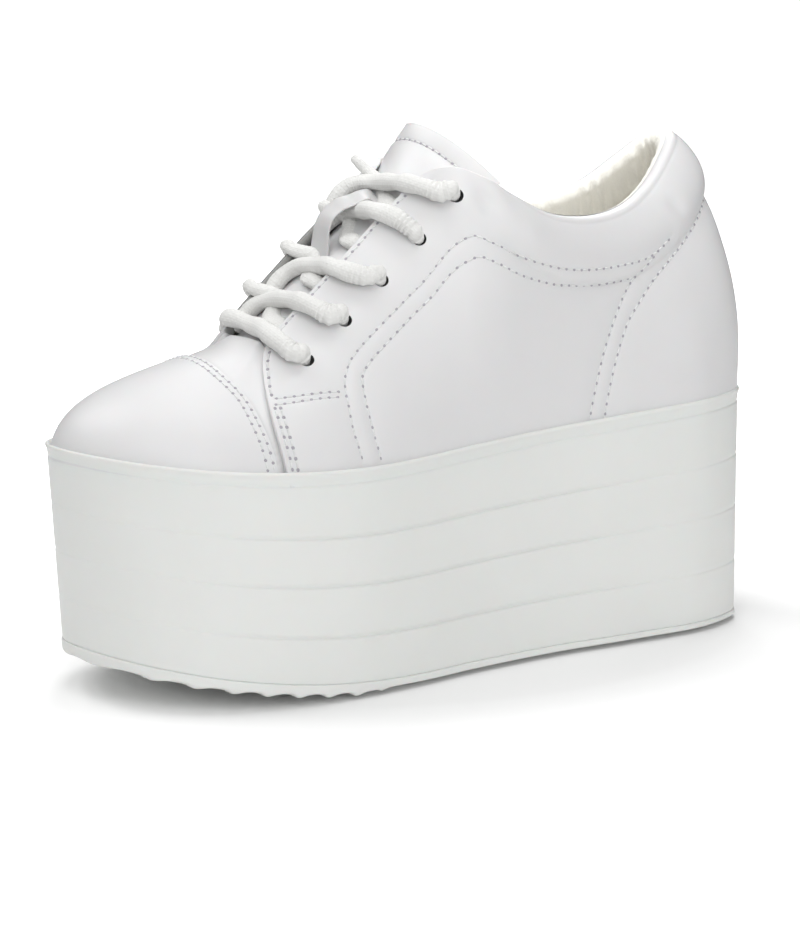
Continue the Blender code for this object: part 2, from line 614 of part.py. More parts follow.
def build_laces(material, parts, cutters, tongue, upper):
    """Row 1 is one bar from side to side; every row above it is two bars, crossed and joined."""
    halves = []
    for side in (-1, 1):
        end = eyelet(1, side, upper)
        start_x = end[0][0] + FIRST_BOW
        halves.append(lace_path(start_x, end, FIRST_COURSE, FIRST_LIFT, side, tongue, upper))
    bar = np.vstack([halves[0][::-1], halves[1]])
    tube_mesh("lace_row_1", bar, LACE_RADIUS, material, parts)
    for number in range(2, EYELETS + 1):
        pair = []
        for side, lift in ((1, UPPER_LIFT), (-1, LOWER_LIFT)):
            start_x = eyelet(number - 1, side, upper)[0][0] - START_BELOW
            end = eyelet(number, side, upper)
            path = lace_path(start_x, end, LACE_COURSE, lift, side, tongue, upper)
            home = parts if side > 0 else cutters
            name = f"lace_row_{number}" if side > 0 else f"lace_under_{number}"
            pair.append(tube_mesh(name, path, LACE_RADIUS, material, home))
        boolean(pair[0], pair[1], "UNION", cutters)


def build_loop(material, parts, tongue, upper):
    """The keeper: a thin strap that bridges one crossing along the middle of the tongue."""
    steps = np.linspace(0, 1, LOOP_STEPS + 1)
    rise = 2 * GAP + LOOP_RISE * np.sin(np.pi * steps)
    x = LOOP_X[0] + (LOOP_X[1] - LOOP_X[0]) * steps
    centre = np.array([over_skin(a, LOOP_Y, lift, tongue, upper) for a, lift in zip(x, rise)])
    centre[:, 1] = LOOP_Y
    along = np.gradient(centre, axis=0)
    along /= np.linalg.norm(along, axis=1, keepdims=True)
    sections = []
    for point, (ahead, _, climb) in zip(centre, along):
        low = point + np.array([[0, -LOOP_WIDTH / 2, 0], [0, LOOP_WIDTH / 2, 0]])
        sections.append(np.vstack([low, low[::-1] + np.array([climb, 0, -ahead]) * LOOP_THICK]))
    faces = ring_faces(len(sections), 4) + [(0, 1, 2, 3)]
    last = 4 * (len(sections) - 1)
    faces.append((last, last + 1, last + 2, last + 3))
    return mesh_object("lace_loop", np.vstack(sections), faces, material, parts)


def cut_eyelets(upper, cutters, tree):
    """Round holes through both eyestays, square to the leather."""
    points, faces = [], []
    sides = EYELET_SIDES
    for number in range(1, EYELETS + 1):
        for side in (1, -1):
            place, normal = eyelet(number, side, tree)
            first = np.cross(normal, [1.0, 0, 0])
            first /= np.linalg.norm(first)
            second = np.cross(normal, first)
            start = len(points)
            for reach in EYELET_PIN:
                for k in range(sides):
                    turn = 2 * math.pi * k / sides
                    round_it = math.cos(turn) * first + math.sin(turn) * second
                    points.append(place + normal * reach + round_it * EYELET_HOLE / 2)
            faces += [tuple(start + k for k in range(sides)),
                      tuple(start + sides + k for k in range(sides))]
            faces += [(start + k, start + (k + 1) % sides, start + sides + (k + 1) % sides,
                       start + sides + k) for k in range(sides)]
    pins = mesh_object("eyelet_pins", points, faces, None, cutters)
    boolean(upper, pins, "DIFFERENCE", cutters)


# ---- the shoe -----------------------------------------------------------------------------
def build():
    """Every piece of the shoe."""
    for thing in list(bpy.data.objects):
        bpy.data.objects.remove(thing, do_unlink=True)
    parts = bpy.data.collections.new("platform_sneaker")
    cutters = bpy.data.collections.new("cutters")
    bpy.context.scene.collection.children.link(parts)
    bpy.context.scene.collection.children.link(cutters)
    rubber = paint("rubber", (0.80, 0.82, 0.80), 0.55)
    foam = paint("foam", (0.82, 0.84, 0.83), 0.5)
    leather = paint("leather", (0.86, 0.86, 0.87), 0.35)
    lining = paint("lining", (0.85, 0.83, 0.76), 0.7)
    lace = paint("lace", (0.88, 0.87, 0.84), 0.85)
    build_outsole(rubber, parts, cutters)
    build_midsole(foam, parts)
    upper = build_upper(leather, parts)
    build_insole(lining, parts)
    bpy.context.view_layer.update()
    skin = tree_of(upper)
    tongue = build_tongue(leather, parts, skin)
    bpy.context.view_layer.update()
    pad = tree_of(tongue)
    build_loop(leather, parts, pad, skin)
    build_laces(lace, parts, cutters, pad, skin)
    cut_eyelets(upper, cutters, skin)


build()
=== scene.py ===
"""Looks of a white lace-up sneaker on a high block platform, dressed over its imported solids.

Tables are in millimetres with x counted from the heel, y to the shoe's outer side and z up
from the floor, as in the part's source. put_mesh() turns them into metres and centres the
shoe's length on the origin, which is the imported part's frame.
"""
from __future__ import annotations

import logging
import math
from dataclasses import dataclass, field
from enum import Enum

import bpy
import numpy as np
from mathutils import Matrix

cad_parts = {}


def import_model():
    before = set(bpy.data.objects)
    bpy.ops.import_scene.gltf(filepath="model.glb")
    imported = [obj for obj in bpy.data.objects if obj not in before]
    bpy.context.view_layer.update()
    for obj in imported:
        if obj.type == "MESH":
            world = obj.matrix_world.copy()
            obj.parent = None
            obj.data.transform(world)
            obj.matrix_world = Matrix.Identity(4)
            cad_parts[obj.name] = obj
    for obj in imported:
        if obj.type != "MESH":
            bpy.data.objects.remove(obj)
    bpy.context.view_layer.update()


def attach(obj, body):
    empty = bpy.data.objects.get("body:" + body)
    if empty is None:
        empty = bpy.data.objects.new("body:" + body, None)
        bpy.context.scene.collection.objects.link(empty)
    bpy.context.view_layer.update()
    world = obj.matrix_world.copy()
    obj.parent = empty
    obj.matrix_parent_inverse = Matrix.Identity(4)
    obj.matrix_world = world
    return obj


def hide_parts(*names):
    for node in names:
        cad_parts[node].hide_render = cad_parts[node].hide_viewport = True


Array = np.ndarray
LOG = logging.getLogger("sneaker")
MM = 0.001
LENGTH = 248.6               # heel to toe tip, along the sole

# ---- the shoe's own sizes -------------------------------------------------------------------
# Plan of the sole, clockwise from above: heel, outer side, toe, inner side.
SOLE_PLAN = [
    # x, y
    (0.0, 0.0), (2.5, 23.5), (23.0, 35.0), (55.0, 37.0), (88.0, 37.0), (120.0, 40.0),
    (148.0, 44.5), (172.0, 47.0), (197.0, 45.0), (220.0, 37.5), (238.0, 23.5), (247.0, 8.0),
    (248.5, -6.0), (242.5, -20.0), (231.0, -33.0), (213.0, -42.5), (188.0, -47.0),
    (162.0, -45.5), (135.0, -39.5), (108.0, -35.0), (80.0, -34.0), (52.0, -35.5),
    (25.0, -32.5), (5.5, -20.0)]
TOE_ROW = 12                 # the plan's place at the toe tip
PLAN_STEPS, PLAN_REACH = 1440, 4.0     # fine steps round it, reach over which normals are taken
ROUND_MM, RIB_MM, COLLAR_MM = 400.0, 90.0, 230.0   # about half a lap, a rib, half the collar
HEEL_X, BALL_X, TOE_X = 10.0, 165.0, 250.0
SPRING_FROM, SPRING_RISE = 139.0, 13.0
TOE_RAKE_FROM, TOE_RAKE = 150.0, 5.0   # how far the floor lies back from the lip at the toe

# Heights of the sole's layers above its underside at heel, ball and toe.
FLOOR_LINE = (0.0, 0.0, 0.0)
OUTSOLE_LINE = (3.6, 4.3, 4.5)
GROOVE_LOW = (20.8, 18.8, 18.1)
GROOVE_MID = (39.6, 35.0, 33.2)
GROOVE_HIGH = (57.2, 50.4, 47.4)
LIP_LINE = (75.4, 67.3, 62.2)
LIP_TOP = (80.2, 71.7, 66.4)
LIP_OUT, LIP_WALL, CUP_DEPTH = 0.5, 1.6, 5.0
FOOT_CLEAR = 0.35
LUG_FIRST, LUG_PITCH, LUG_DEPTH, LUG_RADIUS = 17.0, 10.0, 1.2, 2.4
LUG_COUNT = 21
HEM = 1.6                    # gap under the tread's outer edge
TREAD_ROWS = [
    # line, then its rows: how far out, how far above, share of the hem's gap
    (FLOOR_LINE, [(-7.0, 0.0, 0.0), (-6.6, 0.0, 0.6), (-6.0, 0.0, 1.0), (-3.0, 0.0, 1.0),
                  (-0.9, 0.0, 1.0), (-0.3, 0.15, 0.95), (0.05, 0.45, 0.85), (0.28, 1.0, 0.6),
                  (0.34, 1.6, 0.3), (0.34, 2.4, 0.0)]),
    (OUTSOLE_LINE, [(0.30, -0.9, 0.0), (0.22, -0.45, 0.0), (0.02, -0.2, 0.0),
                    (-0.3, -0.12, 0.0)])]
# The insole's climb: x, height over the foot line.
BED = [(0.0, 24.0), (60.0, 22.0), (112.0, 13.0), (160.0, 5.0), (250.0, 4.0)]

# One row for each rib of the last, heel to throat: share of the half outline, where it ends on
# the opening, outward lean at the foot and slope at the edge in degrees, lengths of its two
# straight starts as shares of its span, and how far its arrival swings towards the heel.
RIBS = [
    # along,  x,    half,  z,     out,  rise, low,  high, turn
    (0.000, 16.0,   0.0, 165.0,   6.0,  58.0, 0.43, 0.34,  0.0),
    (0.045, 19.0,   7.5, 163.0,   6.0,  58.0, 0.48, 0.34,  0.0),
    (0.095, 26.5,  13.0, 156.5,   6.0,  60.0, 0.50, 0.34,  0.0),
    (0.160, 39.0,  18.5, 147.0,   4.0,  66.0, 0.44, 0.33,  0.0),
    (0.230, 54.0,  23.5, 141.0,   1.0,  75.0, 0.35, 0.32,  0.0),
    (0.300, 72.0,  27.0, 139.6,   0.0,  78.0, 0.32, 0.32,  0.0),
    (0.360, 87.0,  28.3, 142.4,   0.0,  75.0, 0.31, 0.32,  0.0),
    (0.410, 100.0, 27.8, 149.0,   0.0,  70.0, 0.30, 0.32,  0.0),
    (0.450, 110.5, 25.5, 155.6,   0.0,  64.0, 0.30, 0.32,  0.0),
    (0.480, 118.5, 20.5, 159.2,   0.0,  58.0, 0.30, 0.32,  0.0),
    (0.505, 125.0, 15.0, 157.5,   0.0,  53.0, 0.30, 0.32,  0.0),
    (0.540, 136.0, 12.8, 148.2,   0.0,  50.0, 0.30, 0.32,  0.0),
    (0.600, 152.5, 12.8, 134.2,   0.0,  48.0, 0.30, 0.32,  0.0),
    (0.650, 166.0, 12.8, 122.4,   0.0,  45.0, 0.30, 0.32,  6.0),
    (0.695, 177.0, 12.8, 112.4,   0.0,  41.0, 0.30, 0.32, 16.0),
    (0.735, 181.5, 12.8, 107.0,   0.0,  38.0, 0.30, 0.34, 28.0),
    (0.810, 183.0,  8.6, 107.4,  -1.0,  30.0, 0.29, 0.38, 14.0),
    (0.900, 183.0,  4.3, 107.6,  -1.0,  22.0, 0.31, 0.42,  4.0),
    (1.000, 183.0,   0.0, 107.6,  -1.0, 19.0, 0.31, 0.44,  0.0)]
ARRIVE_REACH = 20.0          # width over which a rib's arrival turns to face across the foot
NORMAL_STEP = 0.004          # step in t and share over which normals are taken
QUARTER_FRONT = 0.735        # 'along' of the quarters' front edge
# How that edge leans: share of the rib's height, 'along' there.
QUARTER_EDGE = [(0.0, 0.7298), (0.15, 0.7318), (0.30, 0.7337), (0.42, 0.7349),
                (0.55, 0.7358), (0.70, 0.7370), (0.86, 0.7388), (1.0, 0.7404)]
# The quarters' finest columns: 'along' behind that edge, share of the leather's height there.
FRONT_COLUMNS = [(0.0, -1.6), (0.00005, -0.3), (0.0004, 0.55), (0.001, 0.92), (0.002, 1.0),
                 (0.004, 1.0), (0.008, 1.0)]
CORNER_ALONG = 0.492         # 'along' of the eyestay's top corner
CAP_EDGE_X, CAP_BOW = 197.1, 3.0       # the cap's back edge, and how far it bows ahead
CAP_BOW_BETWEEN = (90.0, 102.5)        # heights between which it does
WALL, OVERLAY = 2.0, 0.8     # upper with lining, top leather
THROAT_THIN = 1.0            # how much thinner the throat's edge is
PAD_THICK, PAD_DEPTH, PAD_BULGE = 4.0, 20.0, 2.9   # collar: inward, downward, outward
FOOT_SWELL, INNER_LIFT = 0.5, 1.3
EYELETS, EYELET_HOLE = 5, 4.6
EYELET_FIRST, EYELET_LAST = (176.9, 27.1, 103.8), (119.8, 24.9, 150.6)
EYELET_STEP = (np.array(EYELET_LAST) - EYELET_FIRST) / (EYELETS - 1)
INNER_HOLES_BACK = np.array([-2.6, 0.0, 2.1])      # each side's holes, moved from that line
OUTER_HOLES_UP = np.array([0.2, 0.0, 0.4])

# Cross sections of the tongue, from under the toe box up to its free end. The apex is where
# across the shoe a section is highest, and the sweep how far its sides lie back.
TONGUE = [
    # x, ridge height, half width, apex, thickness, sweep
    (200.0, 92.0, 17.0, 0.0, 2.5, 0.0),
    (190.0, 99.0, 18.0, 0.0, 4.0, 0.0),
    (178.0, 109.5, 19.0, 0.0, 4.5, 0.0),
    (164.0, 121.3, 20.0, 0.0, 4.5, 0.0),
    (150.0, 133.2, 20.5, -0.5, 4.5, 0.0),
    (137.0, 144.8, 21.0, -2.0, 5.0, 2.0),
    (127.0, 154.3, 20.4, -3.5, 5.0, 5.0),
    (119.0, 163.2, 20.8, -7.5, 5.0, 8.5),
    (112.5, 171.5, 21.5, -11.0, 4.0, 10.5)]
TONGUE_RADIUS, TONGUE_LENGTH = 30.0, 118.0
TONGUE_BORDER = 8.6          # from the free end to its stitches

# Stitch rows on the outer side, each named place by place: x, y, z near the skin. The inner
# side repeats them.
SEAMS = {
    "band_upper": [
        (168.3, 44.2, 74.7), (169.8, 41.6, 83.7), (169.1, 37.6, 92.4), (168.0, 34.4, 98.0),
        (164.0, 32.0, 103.7), (156.5, 30.5, 109.6), (143.2, 28.9, 119.2), (130.7, 28.6, 129.3),
        (122.9, 29.0, 136.3), (117.3, 30.7, 138.8), (111.4, 32.4, 136.4), (101.0, 33.5, 131.5),
        (80.9, 32.8, 126.0), (60.3, 30.4, 125.6), (44.3, 27.8, 127.8), (34.4, 25.0, 133.0)],
    "band_lower": [
        (161.3, 43.9, 73.7), (162.9, 41.9, 83.1), (163.3, 38.6, 92.0), (162.2, 35.4, 98.6),
        (158.8, 34.0, 102.2), (142.7, 31.5, 114.1), (131.3, 30.9, 122.7), (121.8, 31.4, 130.4),
        (116.0, 33.0, 132.3), (110.8, 33.8, 130.2), (103.4, 34.4, 126.6), (90.6, 33.6, 122.4),
        (77.7, 32.5, 120.6), (60.4, 30.5, 120.6), (49.5, 29.2, 121.6)],
    "counter_front": [
        (43.5, 27.8, 127.4), (54.3, 29.8, 119.2), (61.4, 32.0, 110.2), (68.0, 33.9, 98.1),
        (72.6, 34.9, 84.4), (75.1, 35.0, 74.0)],
    "counter_back": [
        (3.5, 0.0, 147.0), (12.8, 15.8, 142.4), (22.4, 22.2, 134.8), (35.9, 27.1, 125.3),
        (44.2, 29.1, 119.4), (51.0, 30.9, 113.1), (57.0, 32.2, 106.8), (62.7, 33.9, 96.2),
        (66.9, 34.9, 83.9), (69.0, 35.1, 74.0)],
    "front_upper": [
        (181.6, 14.2, 107.4), (184.4, 16.9, 105.1), (186.5, 19.2, 102.5), (188.4, 22.9, 99.1),
        (190.0, 26.4, 95.8), (191.0, 29.4, 93.2)],
    "front_first": [(191.5, 31.4, 90.8), (192.4, 36.9, 84.0), (192.8, 42.7, 73.0)],
    "front_second": [(189.8, 32.0, 90.8), (190.6, 37.4, 84.0), (190.9, 43.0, 73.0)],
    "bridge_upper": [(190.0, 29.2, 93.0), (180.5, 33.1, 94.1), (169.6, 36.4, 94.7)],
    "bridge_lower": [(191.0, 30.6, 91.4), (181.1, 34.1, 92.5), (169.8, 37.2, 93.2)],
    "eyestay": [
        (124.6, 18.0, 155.6), (129.0, 15.4, 153.2), (136.5, 14.1, 147.6), (153.2, 14.1, 133.1),
        (166.4, 14.0, 122.0), (177.6, 14.0, 111.8), (181.6, 14.2, 107.4)],
}
CAP_ROWS = (1.2, 3.3)        # how far ahead of the cap's edge its stitch rows run
PITCH = {"band_": 3.3, "counter_": 3.3, "eyestay": 3.2, "front_": 3.5, "bridge_": 2.8, "cap": 3.2,
         "tongue": 2.9}      # stitch lengths by row
FRONT_ROWS_RAISED = 0.07
# How seams shape the leather: names, rise beside them and its reach, dent along them and its
# half width. A dent below zero is a ridge.
SEAM_KINDS = [
    (("band_", "counter_"), 0.42, 4.5, 0.22, 0.8),
    (("front_", "bridge_", "eyestay"), 0.14, 2.2, 0.16, 0.6),
    (("quarter_edge",), 0.0, 1.0, -0.3, 2.2)]
THREAD = [
    # share of the stitch, radius, height of its middle
    (-0.5, 0.08, -0.30), (-0.42, 0.24, -0.08), (-0.22, 0.30, 0.07), (0.0, 0.32, 0.11),
    (0.22, 0.30, 0.07), (0.42, 0.24, -0.08), (0.5, 0.08, -0.30)]
NEEDLE_HOLE = [(0.64, 0.0), (0.46, 0.07), (0.05, 0.08)]     # radius, height

# Centre lines of the bars that end at the outer holes, from under the far eyestay on.
FIRST_BAR = [(180.4, -7.0, 112.6), (180.0, -2.0, 112.0), (180.5, 4.3, 111.5), (182.0, 11.5, 111.1),
             (183.1, 17.0, 110.3), (182.2, 22.4, 108.1), (181.0, 25.9, 106.4)]
FIRST_FAR = [(181.6, -12.0, 113.0), (179.6, -15.6, 111.8), (176.8, -19.6, 109.6),
             (174.9, -23.2, 108.0)]
BARS = {
    2: [(178.2, -13.0, 109.0), (176.6, -11.2, 112.4), (174.6, -10.2, 115.3), (172.6, -7.6, 117.6),
        (171.2, -2.5, 119.1), (170.6, 4.0, 119.8), (171.3, 11.0, 120.2), (172.0, 16.5, 120.2),
        (169.7, 21.5, 118.5), (167.3, 24.8, 117.0)],
    3: [(167.5, -13.5, 117.6), (166.2, -11.2, 121.0), (163.6, -10.0, 124.6), (161.2, -8.0, 127.0),
        (159.4, -4.2, 128.7), (158.6, 3.0, 129.5), (158.9, 10.5, 130.1), (159.9, 16.0, 130.2),
        (156.8, 21.2, 128.8), (153.1, 24.2, 127.9)],
    4: [(148.5, -13.2, 136.4), (145.4, -12.0, 140.6), (142.6, -10.2, 142.9), (141.0, -7.0, 144.6),
        (140.8, -3.0, 145.5), (140.9, 2.5, 146.0), (142.4, 9.0, 146.6), (143.0, 14.4, 146.8),
        (140.6, 17.9, 145.7), (138.3, 21.1, 143.9)],
    5: [(141.5, -13.5, 146.5), (139.4, -12.8, 150.0), (136.8, -12.0, 152.1), (133.8, -10.0, 153.2),
        (131.9, -5.3, 153.9), (131.2, 0.5, 154.3), (131.2, 8.0, 154.7), (131.9, 14.0, 155.0),
        (130.8, 18.6, 154.6), (128.4, 21.6, 153.7), (126.0, 24.2, 152.7)],
}
# The lace to the third inner hole, from under the near eyestay. Those to the second and the
# fourth are a hole's step away, and the fifth has its own.
THIRD_FAR = [(159.5, 15.5, 120.0), (161.0, 12.0, 122.9), (161.6, 8.5, 124.6), (161.2, 4.0, 125.6),
             (158.8, 0.0, 126.4), (155.6, -3.0, 129.0), (154.6, -5.4, 131.4), (156.6, -8.2, 132.4),
             (158.2, -11.0, 133.2), (158.8, -13.4, 134.2), (157.2, -16.2, 133.8),
             (153.4, -20.0, 131.0)]
FIFTH_FAR = [(133.0, 15.5, 143.0), (134.7, 12.0, 146.0), (134.4, 8.5, 147.6), (132.4, 4.0, 148.8),
             (130.0, 0.0, 150.0), (128.6, -4.0, 152.2), (129.4, -7.6, 154.8), (130.6, -10.6, 157.2),
             (132.0, -12.8, 159.6), (132.2, -14.8, 160.6), (130.2, -17.0, 160.0),
             (124.6, -20.6, 156.4)]
LACE_WIDE, LACE_HIGH = 3.1, 2.75       # half sizes of the lace's oval
LACE_ROUND, LACE_LONG = 17.6, 60.0     # surface coordinates round a lace and along it
LOOP = [(133.8, -0.4, 149.2), (137.8, -0.9, 150.3), (142.6, -1.5, 148.9), (146.6, -2.4, 147.4),
        (149.9, -3.2, 144.8), (151.8, -3.6, 141.2), (152.7, -3.6, 136.6), (153.4, -3.1, 132.0),
        (154.2, -2.9, 128.0)]
LOOP_HALF, LOOP_THICK = 4.3, 0.9

# Creases: middle, direction, half length, half width, depth.
CREASES = [
    ((112.0, 29.0, 150.0), (0.55, 0.1, 1.0), 7.0, 2.6, 0.9),
    ((31.0, 20.0, 142.0), (0.5, 0.6, 0.5), 9.0, 2.4, 0.45),
    ((186.0, 24.0, 99.0), (0.4, 0.6, -0.5), 9.0, 2.0, 0.18),
    ((112.0, -29.0, 150.0), (0.55, -0.1, 1.0), 7.0, 2.6, 0.8),
]


class Side(Enum):
    """Which side of the shoe a piece is on: +1 outer, -1 inner."""

    OUTER = 1
    INNER = -1

    def placed(self, t: Array) -> Array:
        """Places on the outer side moved to this side."""
        return t if self is Side.OUTER else np.mod(-t, 2.0)


def spline(knots: Array, rows: Array, at: Array, closed: bool = False) -> Array:
    """Cubic curve through rows at uneven knots, with slopes taken from both neighbours.

    Args:
        knots: increasing parameters, one for each row.
        rows: values at the knots, one row each.
        at: parameters to read the curve at.
        closed: whether the last row repeats the first.

    Returns:
        One row of values for each parameter.
    """
    knots, rows = np.asarray(knots, float), np.asarray(rows, float)
    if closed:
        span = knots[-1] - knots[0]
        knots = np.concatenate([[knots[-2] - span], knots, [knots[1] + span]])
        rows = np.vstack([rows[-2], rows, rows[1]])
    step = np.diff(knots)[:, None]
    rise = np.diff(rows, axis=0) / step
    inner = (rise[:-1] * step[1:] + rise[1:] * step[:-1]) / (step[:-1] + step[1:])
    slope = np.vstack([rise[:1], inner, rise[-1:]])
    i = np.clip(np.searchsorted(knots, at, side="right") - 1, 0, len(knots) - 2)
    h = step[i]
    u = (np.asarray(at, float) - knots[i])[:, None] / h
    return ((2 * u**3 - 3 * u**2 + 1) * rows[i] + (u**3 - 2 * u**2 + u) * h * slope[i]
            + (3 * u**2 - 2 * u**3) * rows[i + 1] + (u**3 - u**2) * h * slope[i + 1])


def smooth(value: Array | float, low: float = 0.0, high: float = 1.0) -> Array:
    """Smooth step: 0 below low, 1 above high, an S curve between."""
    part = np.clip((np.asarray(value, float) - low) / (high - low), 0, 1)
    return part * part * (3 - 2 * part)


def bell(value: Array, width: float) -> Array:
    """Gaussian bell of the given width round zero."""
    return np.exp(-(np.asarray(value, float) / width)**2)


def unit(vectors: Array) -> Array:
    """Vectors scaled to length one."""
    return vectors / np.maximum(np.linalg.norm(vectors, axis=-1, keepdims=True), 1e-9)


def lengths(points: Array) -> Array:
    """Distance walked along a row of points, starting at zero."""
    return np.concatenate([[0.0], np.cumsum(np.linalg.norm(np.diff(points, axis=0), axis=1))])


def chord_knots(rows: Array) -> Array:
    """Knots for a curve through rows: the running sum of the square roots of their steps."""
    steps = np.linalg.norm(np.diff(rows, axis=0), axis=1)
    return np.concatenate([[0.0], np.cumsum(np.sqrt(steps))])


def read_rows(at: Array, run: Array, rows: Array) -> Array:
    """Rows read in straight steps at distances along their run."""
    return np.stack([np.interp(at, run, rows[:, k]) for k in range(rows.shape[1])], axis=-1)


def even_curve(rows: list[tuple[float, ...]] | Array, count: int) -> Array:
    """Smooth curve through rows, read at evenly spaced places.

    Args:
        rows: the places to pass through.
        count: how many places to return.

    Returns:
        One row for each place along the curve.
    """
    rows = np.asarray(rows, float)
    knots = chord_knots(rows)
    fine = spline(knots, rows, np.linspace(0, knots[-1], 40 * len(rows)))
    run = lengths(fine)
    return read_rows(np.linspace(0, run[-1], count), run, fine)


def folded(t: Array) -> Array:
    """Places round the shoe as their way from the heel, 0, to the toe, 1, on either side."""
    t = np.mod(t, 2.0)
    return np.where(t <= 1, t, 2 - t)


def collared(t: Array) -> Array:
    """1 round the padded collar, falling to 0 before the eyestay's corner."""
    return smooth(CORNER_ALONG - 0.02 - folded(t), 0, 0.08)


# ---- meshes ---------------------------------------------------------------------------------
def put_mesh(name: str, points: Array, faces: Array, material: bpy.types.Material,
             marks: dict[str, Array] | None = None, uv: Array | None = None) -> bpy.types.Object:
    """Make a mesh object from whole arrays.

    Args:
        name: the piece's name.
        points: (n, 3) places in millimetres from the heel.
        faces: (f, 4) or (f, 3) indices into points.
        material: its finish.
        marks: named values, one for each point, that the finish reads.
        uv: (n, 2) surface coordinates in millimetres, for patterns that follow the surface.

    Returns:
        The new object, at the origin, linked to the scene.
    """
    place = points.reshape(-1, 3).astype(float) * MM
    place[:, 0] -= LENGTH / 2 * MM
    mesh = bpy.data.meshes.new(name)
    sides = faces.shape[1]
    mesh.vertices.add(len(place))
    mesh.vertices.foreach_set("co", place.ravel())
    mesh.loops.add(faces.size)
    mesh.loops.foreach_set("vertex_index", faces.ravel())
    mesh.polygons.add(len(faces))
    mesh.polygons.foreach_set("loop_start", np.arange(0, faces.size, sides))
    mesh.update(calc_edges=True)
    mesh.shade_smooth()
    for mark, values in (marks or {}).items():
        layer = mesh.attributes.new(mark, "FLOAT", "POINT")
        layer.data.foreach_set("value", np.asarray(values, float).ravel())
    if uv is not None:
        layer = mesh.uv_layers.new(name="surface")
        layer.data.foreach_set("uv", (uv.reshape(-1, 2)[faces.ravel()] * MM).ravel())
    mesh.materials.append(material)
    thing = bpy.data.objects.new(name, mesh)
    bpy.context.scene.collection.objects.link(thing)
    LOG.info("%s: %d faces", name, len(faces))
    return thing


def grid_faces(rows: int, columns: int, wrap_rows: bool = False, wrap_columns: bool = False,
               flip: bool = False) -> Array:
    """Quads of a grid of points stored row by row.

    Args:
        rows: how many rows of points.
        columns: how many points in a row.
        wrap_rows: whether the last row joins the first.
        wrap_columns: whether each row's last point joins its first.
        flip: turn every face over.

    Returns:
        (faces, 4) indices.
    """
    i = np.arange(rows if wrap_rows else rows - 1)[:, None]
    j = np.arange(columns if wrap_columns else columns - 1)[None, :]
    i2, j2 = (i + 1) % rows, (j + 1) % columns
    quad = np.stack(np.broadcast_arrays(i * columns + j, i2 * columns + j, i2 * columns + j2,
                                        i * columns + j2), axis=-1).reshape(-1, 4)
    return quad[:, ::-1] if flip else quad


def put_grid(name: str, points: Array, material: bpy.types.Material, wrap_rows: bool = False,
             wrap_columns: bool = False, flip: bool = False, keep: Array | None = None,
             marks: dict[str, Array] | None = None) -> bpy.types.Object:
    """Make a mesh from a (rows, columns, 3) grid of points, with surface coordinates in mm.

    Args:
        name: the piece's name.
        points: the grid.
        material: its finish.
        wrap_rows: whether the last row joins the first.
        wrap_columns: whether each row closes on itself.
        flip: turn every face over.
        keep: (rows, columns) marks of the points whose faces stay, or None for all.
        marks: named values at the points.

    Returns:
        The new object.
    """
    rows, columns = points.shape[:2]
    faces = grid_faces(rows, columns, wrap_rows, wrap_columns, flip)
    if keep is not None:
        faces = faces[keep.ravel()[faces].all(axis=1)]
    down = np.linalg.norm(np.diff(points, axis=0), axis=-1).mean(axis=1)
    over = np.linalg.norm(np.diff(points, axis=1), axis=-1).mean(axis=0)
    v = np.concatenate([[0], np.cumsum(down)])[:, None] * np.ones(columns)
    u = np.concatenate([[0], np.cumsum(over)])[None, :] * np.ones((rows, 1))
    used, compact = np.unique(faces, return_inverse=True)
    flat = {mark: np.broadcast_to(values, (rows, columns)).ravel()[used]
            for mark, values in (marks or {}).items()}
    return put_mesh(name, points.reshape(-1, 3)[used], compact.reshape(faces.shape), material,
                    flat, np.stack([u, v], axis=-1).reshape(-1, 2)[used])


def scatter(name: str, shape: Array, faces: Array, places: Array, axes: Array,
            material: bpy.types.Material) -> bpy.types.Object:
    """Copies of one small shape, each carried to its place on its own three axes, as one mesh.

    Args:
        name: the piece's name.
        shape: (v, 3) points of the small shape, in its own axes.
        faces: its faces.
        places: (n, 3) where each copy goes.
        axes: (n, 3, 3) the copy's axes, one in each row.
        material: its finish.

    Returns:
        The new object.
    """
    points = places[:, None, :] + np.einsum("vk,nkc->nvc", shape, axes)
    more = faces[None] + (np.arange(len(places)) * len(shape))[:, None, None]
    return put_mesh(name, points.reshape(-1, 3), more.reshape(-1, faces.shape[1]), material)


def join(piece: bpy.types.Object, slot: str, *nodes: str) -> None:
    """Ride a finished piece on the shoe.

    Args:
        piece: the piece.
        slot: not used.
        nodes: the nodes it stands for.
    """
    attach(piece, "root")
    if nodes:
        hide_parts(*nodes)


def sweep_tube(route: Array, up: Array, section: Array) -> Array:
    """Grid of points of a section carried along a route.

    A section point (a, b) lands at route + a * across + b * over, where over is up made square
    to the route and across is over turned a quarter round the route.

    Args:
        route: (n, 3) centre line.
        up: (n, 3) rough directions of the section's second axis.
        section: (n, m, 2) or (m, 2) section points.

    Returns:
        (n, m, 3) points.
    """
    along = unit(np.gradient(route, axis=0))
    over = unit(up - (up * along).sum(axis=1, keepdims=True) * along)
    across = np.cross(along, over)
    shape = np.broadcast_to(section, (len(route), *np.shape(section)[-2:]))
    return (route[:, None, :] + shape[..., :1] * across[:, None, :]
            + shape[..., 1:] * over[:, None, :])


def grid_normals(grid: Array) -> Array:
    """Unit normals of a grid of points: the cross product of its column and row directions."""
    return unit(np.cross(np.gradient(grid, axis=1), np.gradient(grid, axis=0)))


